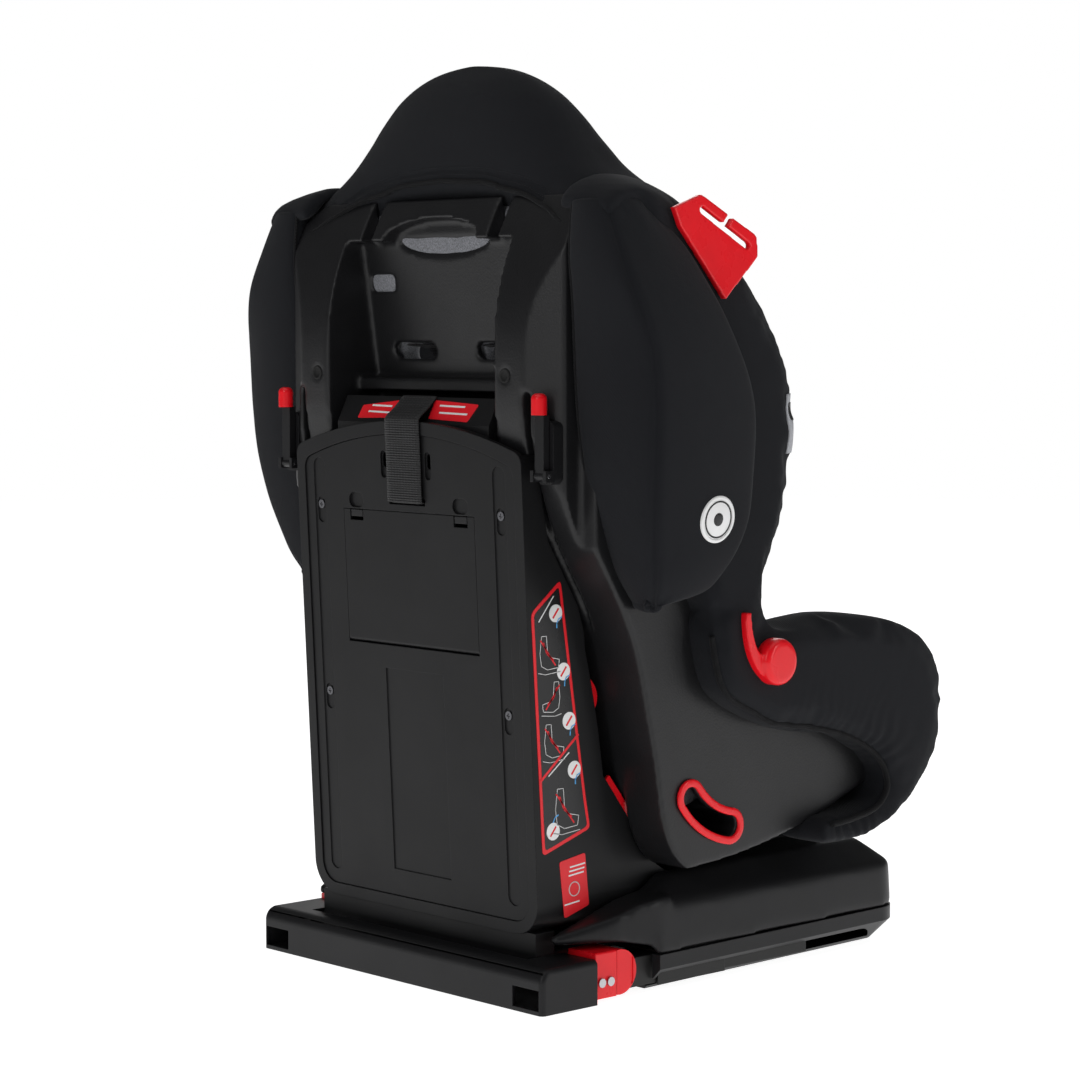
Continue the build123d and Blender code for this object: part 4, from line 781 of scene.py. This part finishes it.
def strap(name, path, width, thick, across, body):
    """Flat ribbed webbing along a path; path and sizes in millimetres, across is its width's direction."""
    line = smooth_line([[c * MM for c in place] for place in path], 0.5)
    across = np.array(across, float)
    along = np.gradient(line, axis=0)
    along /= np.linalg.norm(along, axis=1, keepdims=True)
    edge = np.linspace(-1, 1, 9)
    rings = []
    for i, (place, way) in enumerate(zip(line, along)):
        up = np.cross(way, across)
        up /= np.linalg.norm(up)
        rib = 1 + 0.22 * math.sin(2 * math.pi * i * 0.5 / RIB_SPACING)
        half = thick / 2 * rib
        top = [place + (across * e * width / 2 + up * half * (1 - 0.6 * e ** 8)) * MM for e in edge]
        low = [place + (across * e * width / 2 - up * half * (1 - 0.6 * e ** 8)) * MM for e in edge[::-1]]
        rings.append(top + low)
    made = add_piece(name, loft(name, rings), "webbing", body)
    return made


def make_straps():
    tether = strap("tether_webbing", [(0, 198.6, 348.2), (0, 203.6, 348.4), (0, 205.0, 352), (0, 206.2, 380),
                                      (0, 207.6, 404), (0, 206.6, 409.4), (0, 198, 416.5), (0, 190, 424.4)],
                   38, 1.5, (1, 0, 0), "base")
    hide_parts("tether_strap")
    for name, side in SIDES:
        x = 43 * side
        strap("shoulder_webbing_" + name,
                          [(x, 150, 461), (x, 134, 459.5), (x, 126, 456), (x, 121.5, 445), (x, 113, 388),
                           (x, 102, 318), (x, 91, 284), (x, 60, 261), (x, 10, 250),
                           (x, -42, 238.5)], 38, 1.5, (1, 0, 0), "seat")
        strap("lap_webbing_" + name,
                          [(45 * side, -44.8, 210), (72 * side, -34, 210), (101 * side, -16, 210),
                           (119 * side, 20, 210), (129.5 * side, 55, 210)], 32, 1.5, (0, 0, 1), "seat")
    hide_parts("harness_webbing")
    crotch = strap("crotch_webbing", [(0, -45.3, 101), (0, -45.5, 140), (0, -45.3, 187)],
                   38, 1.5, (1, 0, 0), "seat")
    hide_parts("crotch_strap")
    pull = strap("adjuster_webbing", [(0, -142, 193.3), (0, -160, 197), (0, -186, 196.6), (0, -203, 190),
                                      (0, -209.4, 185.8)], 30, 1.5, (1, 0, 0), "seat")
    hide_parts("adjuster_strap")


# ---------------------------------------------------------------- stickers and badges
LABEL_REAR = ((185, 104), (196, 276))     # rear edge of the large side label, low and high, as (y, z)
LABEL_FRONT = ((139, 119), (168, 298))
LABEL_CORNERS = [(196, 276), (168, 298), (151, 188), (143, 139), (139, 119), (185, 104)]
SMALL_CORNERS = [(169, 98), (144, 102), (140, 64), (164, 57)]
TOWER_SIDE = 125.0


def label_place(u, v):
    """Place on the large label: u from its rear to its front edge, v from its foot to its top."""
    rear, front = (np.array(e[0]) * (1 - v) + np.array(e[1]) * v for e in (LABEL_REAR, LABEL_FRONT))
    return rear * (1 - u) + front * u


def round_corners(corners, radius):
    """Polygon with its corners rounded off."""
    made = []
    corners = [np.array(c, float) for c in corners]
    for i, corner in enumerate(corners):
        before, after = corners[i - 1] - corner, corners[(i + 1) % len(corners)] - corner
        cut = min(radius, np.linalg.norm(before) / 2.2, np.linalg.norm(after) / 2.2)
        start, end = (corner + e / np.linalg.norm(e) * cut for e in (before, after))
        for t in np.linspace(0, 1, 5):
            made.append(start * (1 - t) ** 2 + corner * 2 * t * (1 - t) + end * t * t)
    return made


def shrink(corners, border):
    """Polygon with every edge moved in by border."""
    corners = [np.array(c, float) for c in corners]
    middle = np.mean(corners, axis=0)
    lines = []
    for a, b in zip(corners, corners[1:] + corners[:1]):
        way = (b - a) / np.linalg.norm(b - a)
        out = np.array([way[1], -way[0]])
        out *= math.copysign(1, np.dot(out, a - middle))
        lines.append((a - out * border, way))
    made = []
    for (p, d), (q, e) in zip(lines[-1:] + lines[:-1], lines):
        share = np.linalg.solve(np.array([d, -e]).T, q - p)[0]
        made.append(p + d * share)
    return made


def disc(middle, radius):
    turns = np.linspace(0, 2 * math.pi, 24, endpoint=False)
    return [np.array(middle) + radius * np.array([math.cos(t), math.sin(t)]) for t in turns]


def ribbon(line, width):
    """Thin quads along a polyline in a plane."""
    made = []
    line = [np.array(p, float) for p in line]
    for a, b in zip(line, line[1:]):
        way = (b - a) / max(np.linalg.norm(b - a), 1e-9)
        side = np.array([-way[1], way[0]]) * width / 2
        reach = way * width * 0.3
        made.append([a - side - reach, b - side + reach, b + side + reach, a + side - reach])
    return made


def flat_art(name, shapes, low, high, lift, material):
    """Flat shapes as thin closed plates between two depths; lift turns (a, b, depth) into a place."""
    points, faces = [], []
    for shape in shapes:
        first, count = len(points), len(shape)
        for depth in (low, high):
            points += [lift(p[0], p[1], depth) for p in shape]
        faces += [tuple(first + j for j in range(count)), tuple(first + count + j for j in range(count))[::-1]]
        faces += [(first + j, first + (j + 1) % count, first + count + (j + 1) % count, first + count + j)
                  for j in range(count)]
    made = add_piece(name, mesh_from(name, points, faces), material, "base")
    made.data.shade_flat()
    return made


SEAT_OUTLINE = [(-8, 13), (-9.5, 0), (-8, -9), (-2, -12), (9, -11), (10, -5), (1, -3), (-2, 2), (-3, 13), (-8, 13)]
SEAT_BASE = [(-11, -14), (-4, -15.5), (11, -14)]
SEAT_BELT = [(-9, 10), (-4, 4), (1, -3), (6, -9)]
SEAT_STRAP = [(-6, 8), (-2.5, 0), (4, -5)]
ARROW = [(0, 0), (-3.5, -1.5), (-5.5, -5), (-5.5, -9)]
SHORT_ARROW = [(0, 0), (2, 4), (6, 6)]
LABEL_DISCS = [(0.74, 0.90), (0.79, 0.66), (0.80, 0.46), (0.80, 0.262), (0.24, 0.075)]


def moved(shape, place, scale=1.0, turn=1):
    """A drawing placed on the label; its first axis runs towards the seat's front."""
    return [(place[0] - turn * scale * p[0], place[1] + scale * p[1]) for p in shape]


def make_side_labels(name, side):
    def lift(a, b, depth):
        return (side * (TOWER_SIDE + depth) * MM, a * MM, b * MM)

    discs = [label_place(u, v) for u, v in LABEL_DISCS]
    drawings = [(label_place(0.46, 0.775), 0.95, 1), (label_place(0.42, 0.60), 0.85, -1),
                (label_place(0.40, 0.425), 0.95, 1), (label_place(0.56, 0.13), 1.15, 1)]
    white = [disc(place, 6.3) for place in discs]
    red_lines, blue = [], []
    for place, scale, turn in drawings:
        for line in (SEAT_OUTLINE, SEAT_BASE):
            white += ribbon(moved(line, place, scale, turn), 0.45)
        for line in (SEAT_BELT, SEAT_STRAP):
            red_lines += ribbon(moved(line, place, scale, turn), 1.1)
    for place, turn in zip(discs, (-1, -1, -1, -1, 1)):
        if turn < 0:
            line = moved(ARROW, (place[0] - 5.5, place[1] - 3.0), 0.8)
        else:
            line = moved(SHORT_ARROW, (place[0], place[1] + 6.4), 0.8)
        blue += ribbon(line, 1.0)
        red_lines += ribbon([(place[0] + 2.4, place[1] - 3), (place[0] - 2.4, place[1] + 3)], 1.5)
    for rise in (0.965, 0.335):
        white += ribbon([label_place(0.22, rise - 0.03), label_place(0.72, rise + 0.005)], 0.9)
    red_lines += ribbon([label_place(0.03, 0.307), label_place(0.97, 0.383)], 2.0)
    border = flat_art("label_border_" + name, [round_corners(LABEL_CORNERS, 4), round_corners(SMALL_CORNERS, 2)],
                      0.0, 0.3, lift, "label")
    field = flat_art("label_field_" + name, [round_corners(shrink(LABEL_CORNERS, 2.6), 3)], 0.0, 0.42, lift,
                     "label_black")
    middle = np.mean(SMALL_CORNERS, axis=0)
    ring = disc(middle + (0.3, -3), 5.0)
    white += ribbon(ring + ring[:1], 0.8)
    for rise in (13.5, 10.5, 7.5, -13.0):
        white += ribbon([(middle[0] + 7 - 0.2 * rise, middle[1] + rise - 0.6),
                         (middle[0] - 7 - 0.2 * rise, middle[1] + rise + 0.8)], 1.1)
    flat_art("label_white_" + name, white, 0.3, 0.5, lift, "label_white")
    flat_art("label_red_" + name, red_lines, 0.42, 0.56, lift, "label")
    flat_art("label_blue_" + name, blue, 0.42, 0.54, lift, "label_blue")
    return border, field


HOOD_STICKERS = [[(61, 417), (17, 421.5), (17, 408.5), (62.5, 407.5)],
                 [(-17, 421.8), (-66, 419.5), (-60, 407), (-17, 408.5)]]


def make_hood_stickers():
    low_y, low_z, high_y, high_z = 198.4, 405.0, 189.0, 424.0

    def lift(a, b, depth):
        y = low_y + (high_y - low_y) * (b - low_z) / (high_z - low_z)
        return (a * MM, (y + depth * 0.9) * MM, (b + depth * 0.45) * MM)

    flat_art("hood_stickers", [round_corners(s, 1.6) for s in HOOD_STICKERS], 0.0, 0.35, lift, "label")
    bars = []
    for x, z, long in ((50, 417, 22), (52, 412.5, 26), (-25, 418, 27), (-27, 413, 30)):
        bars += ribbon([(x, z), (x - long, z - 0.02 * long)], 1.3)
    flat_art("hood_sticker_bars", bars, 0.35, 0.45, lift, "label_white")


def turned_disc(name, place, normal, profile, material):
    """A turned piece: profile is a list of (radius, height) in millimetres about the normal."""
    normal = np.array(normal) / np.linalg.norm(normal)
    side = np.cross(normal, (0, 0, 1.0))
    side /= np.linalg.norm(side)
    up = np.cross(side, normal)
    rings = []
    for radius, height in profile:
        turns = np.linspace(0, 2 * math.pi, 48, endpoint=False)
        rings.append([np.array(place) + MM * (height * normal + radius * (math.cos(t) * side + math.sin(t) * up))
                      for t in turns])
    return add_piece(name, loft(name, rings), material)


def make_badge(pod, name, side):
    """Round badge sewn on the pod: a white face in a white rim, with a thin dark ring and a dark dot."""
    places, normals = onto(pod, [(side * 0.225, 0.111, 0.342)])
    place, normal = places[0], normals[0]
    rim = turned_disc("badge_rim_" + name, place, normal,
                      [(16.6, -3), (16.6, 0.4), (16.0, 1.1), (14.6, 1.3), (14.0, 0.9), (14.0, -3)], "label_white")
    face = turned_disc("badge_face_" + name, place, normal, [(14.0, -3), (14.0, 0.5), (13.0, 0.8), (2, 0.95)],
                       "label_white")
    ring = turned_disc("badge_ring_" + name, place, normal,
                       [(13.2, 0.2), (13.2, 0.95), (12.9, 1.05), (12.3, 1.1), (12.0, 1.0), (12.0, 0.2)],
                       "label_black")
    dot = turned_disc("badge_dot_" + name, place, normal, [(4.6, 0.2), (4.6, 1.05), (4.2, 1.2), (0.6, 1.2)],
                      "label_black")


def make_patch(cover, name, side):
    """Plain grey patch with a dark window, sewn round the wing's front edge."""
    def rounded(half_a, half_b, lift, tag, material, middle):
        grid, count = [], 14
        for v in np.linspace(-1, 1, 20):
            narrow = 1 - 0.25 * max(0.0, -v) ** 2 - 0.12 * abs(v) ** 6
            for u in np.linspace(-1, 1, count):
                grid.append((side * 0.192, (middle[0] + half_a * u * narrow) * MM, (middle[1] + half_b * v) * MM))
        places, normals = onto(cover, grid)
        points = np.vstack([places - normals * 0.5 * MM, places + normals * lift * MM])
        total, faces = len(grid), []
        for i in range(19):
            for j in range(count - 1):
                a = i * count + j
                quad = (a, a + 1, a + count + 1, a + count)
                faces += [quad, tuple(total + q for q in quad[::-1])]
        rim = ([j for j in range(count)] + [i * count + count - 1 for i in range(1, 20)]
               + [19 * count + j for j in range(count - 2, -1, -1)] + [i * count for i in range(18, 0, -1)])
        for a, b in zip(rim, rim[1:] + rim[:1]):
            faces.append((a, b, total + b, total + a))
        made = add_piece(tag + name, mesh_from(tag + name, points, faces), material)

    rounded(9.5, 22.5, 0.9, "wing_patch_", "patch_grey", (-4, 404))
    rounded(5.0, 5.5, 1.4, "wing_patch_window_", "label_black", (-4, 414))


# ---------------------------------------------------------------- cushions
def cushion_from(node, material, voxel, smoothing, cap):
    mesh = even_mesh(node, [NODES[node].data], voxel, smoothing)
    inflate(mesh, cap, 4.0)
    pad = add_piece(node + "_pad", mesh, material)
    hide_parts(node)
    subdivide(pad)
    return pad


def make_cushions():
    back = cushion_from("back_cushion", "fabric_grey", 5.0, 6, 5.0)
    seat = cushion_from("seat_cushion", "fabric_grey", 5.0, 6, 6.0)
    sewn = []
    for name, side in SIDES:
        sewn.append((back, "back_piping_" + name,
                     [(side * 88, 80, 200), (side * 92, 80, 360), (side * 80, 90, 520)]))
        sewn.append((seat, "seat_piping_" + name,
                     [(side * 84, 50, 200), (side * 90, -80, 200), (side * 78, -200, 190)]))
    sewn.append((back, "back_seam_low", [(-86, 80, 262), (0, 80, 268), (86, 80, 262)]))
    sewn.append((back, "back_seam_high", [(-84, 90, 492), (0, 90, 502), (84, 90, 492)]))
    for pad, name, path in sewn:
        places, normals = onto(pad, smooth_line([[c * MM for c in place] for place in path]))
        groove(pad, places, 4.0, 5.0)
        places, normals = onto(pad, places)
        places, normals = onto(pad, smooth_line(places[::6], 1.5))
        tube(name, places + normals * 1.1 * MM, 1.8)
    cushion_from("shoulder_pads", "fabric_black", 3.0, 3, 1.5)
    cushion_from("crotch_pad", "fabric_black", 1.6, 3, 0.8)


# ---------------------------------------------------------------- building the scene
add_studio()
add_camera()
dress_frame()
make_cast("seat_shell", "shell_black", "seat", 2.0, 3, 0.3, make_shell_fillers())
make_shell_plugs()
for red_node in ("lap_slot_bezels", "arm_hooks", "shoulder_belt_guides"):
    make_cast(red_node, "red_plastic", "seat", 0.9, 6, 0.5)
make_cast("base_cover", "moulded_black", "base", 2.6, 12, 0.5)
for side_name, side_sign in SIDES:
    make_badge(make_pod(side_name, side_sign), side_name, side_sign)
    make_patch(make_side_cover(side_name, side_sign), side_name, side_sign)
    made = make_side_labels(side_name, side_sign)
    if side_sign > 0:
        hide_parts("side_labels")
make_head_cover()
make_straps()
make_hood_stickers()
make_cushions()
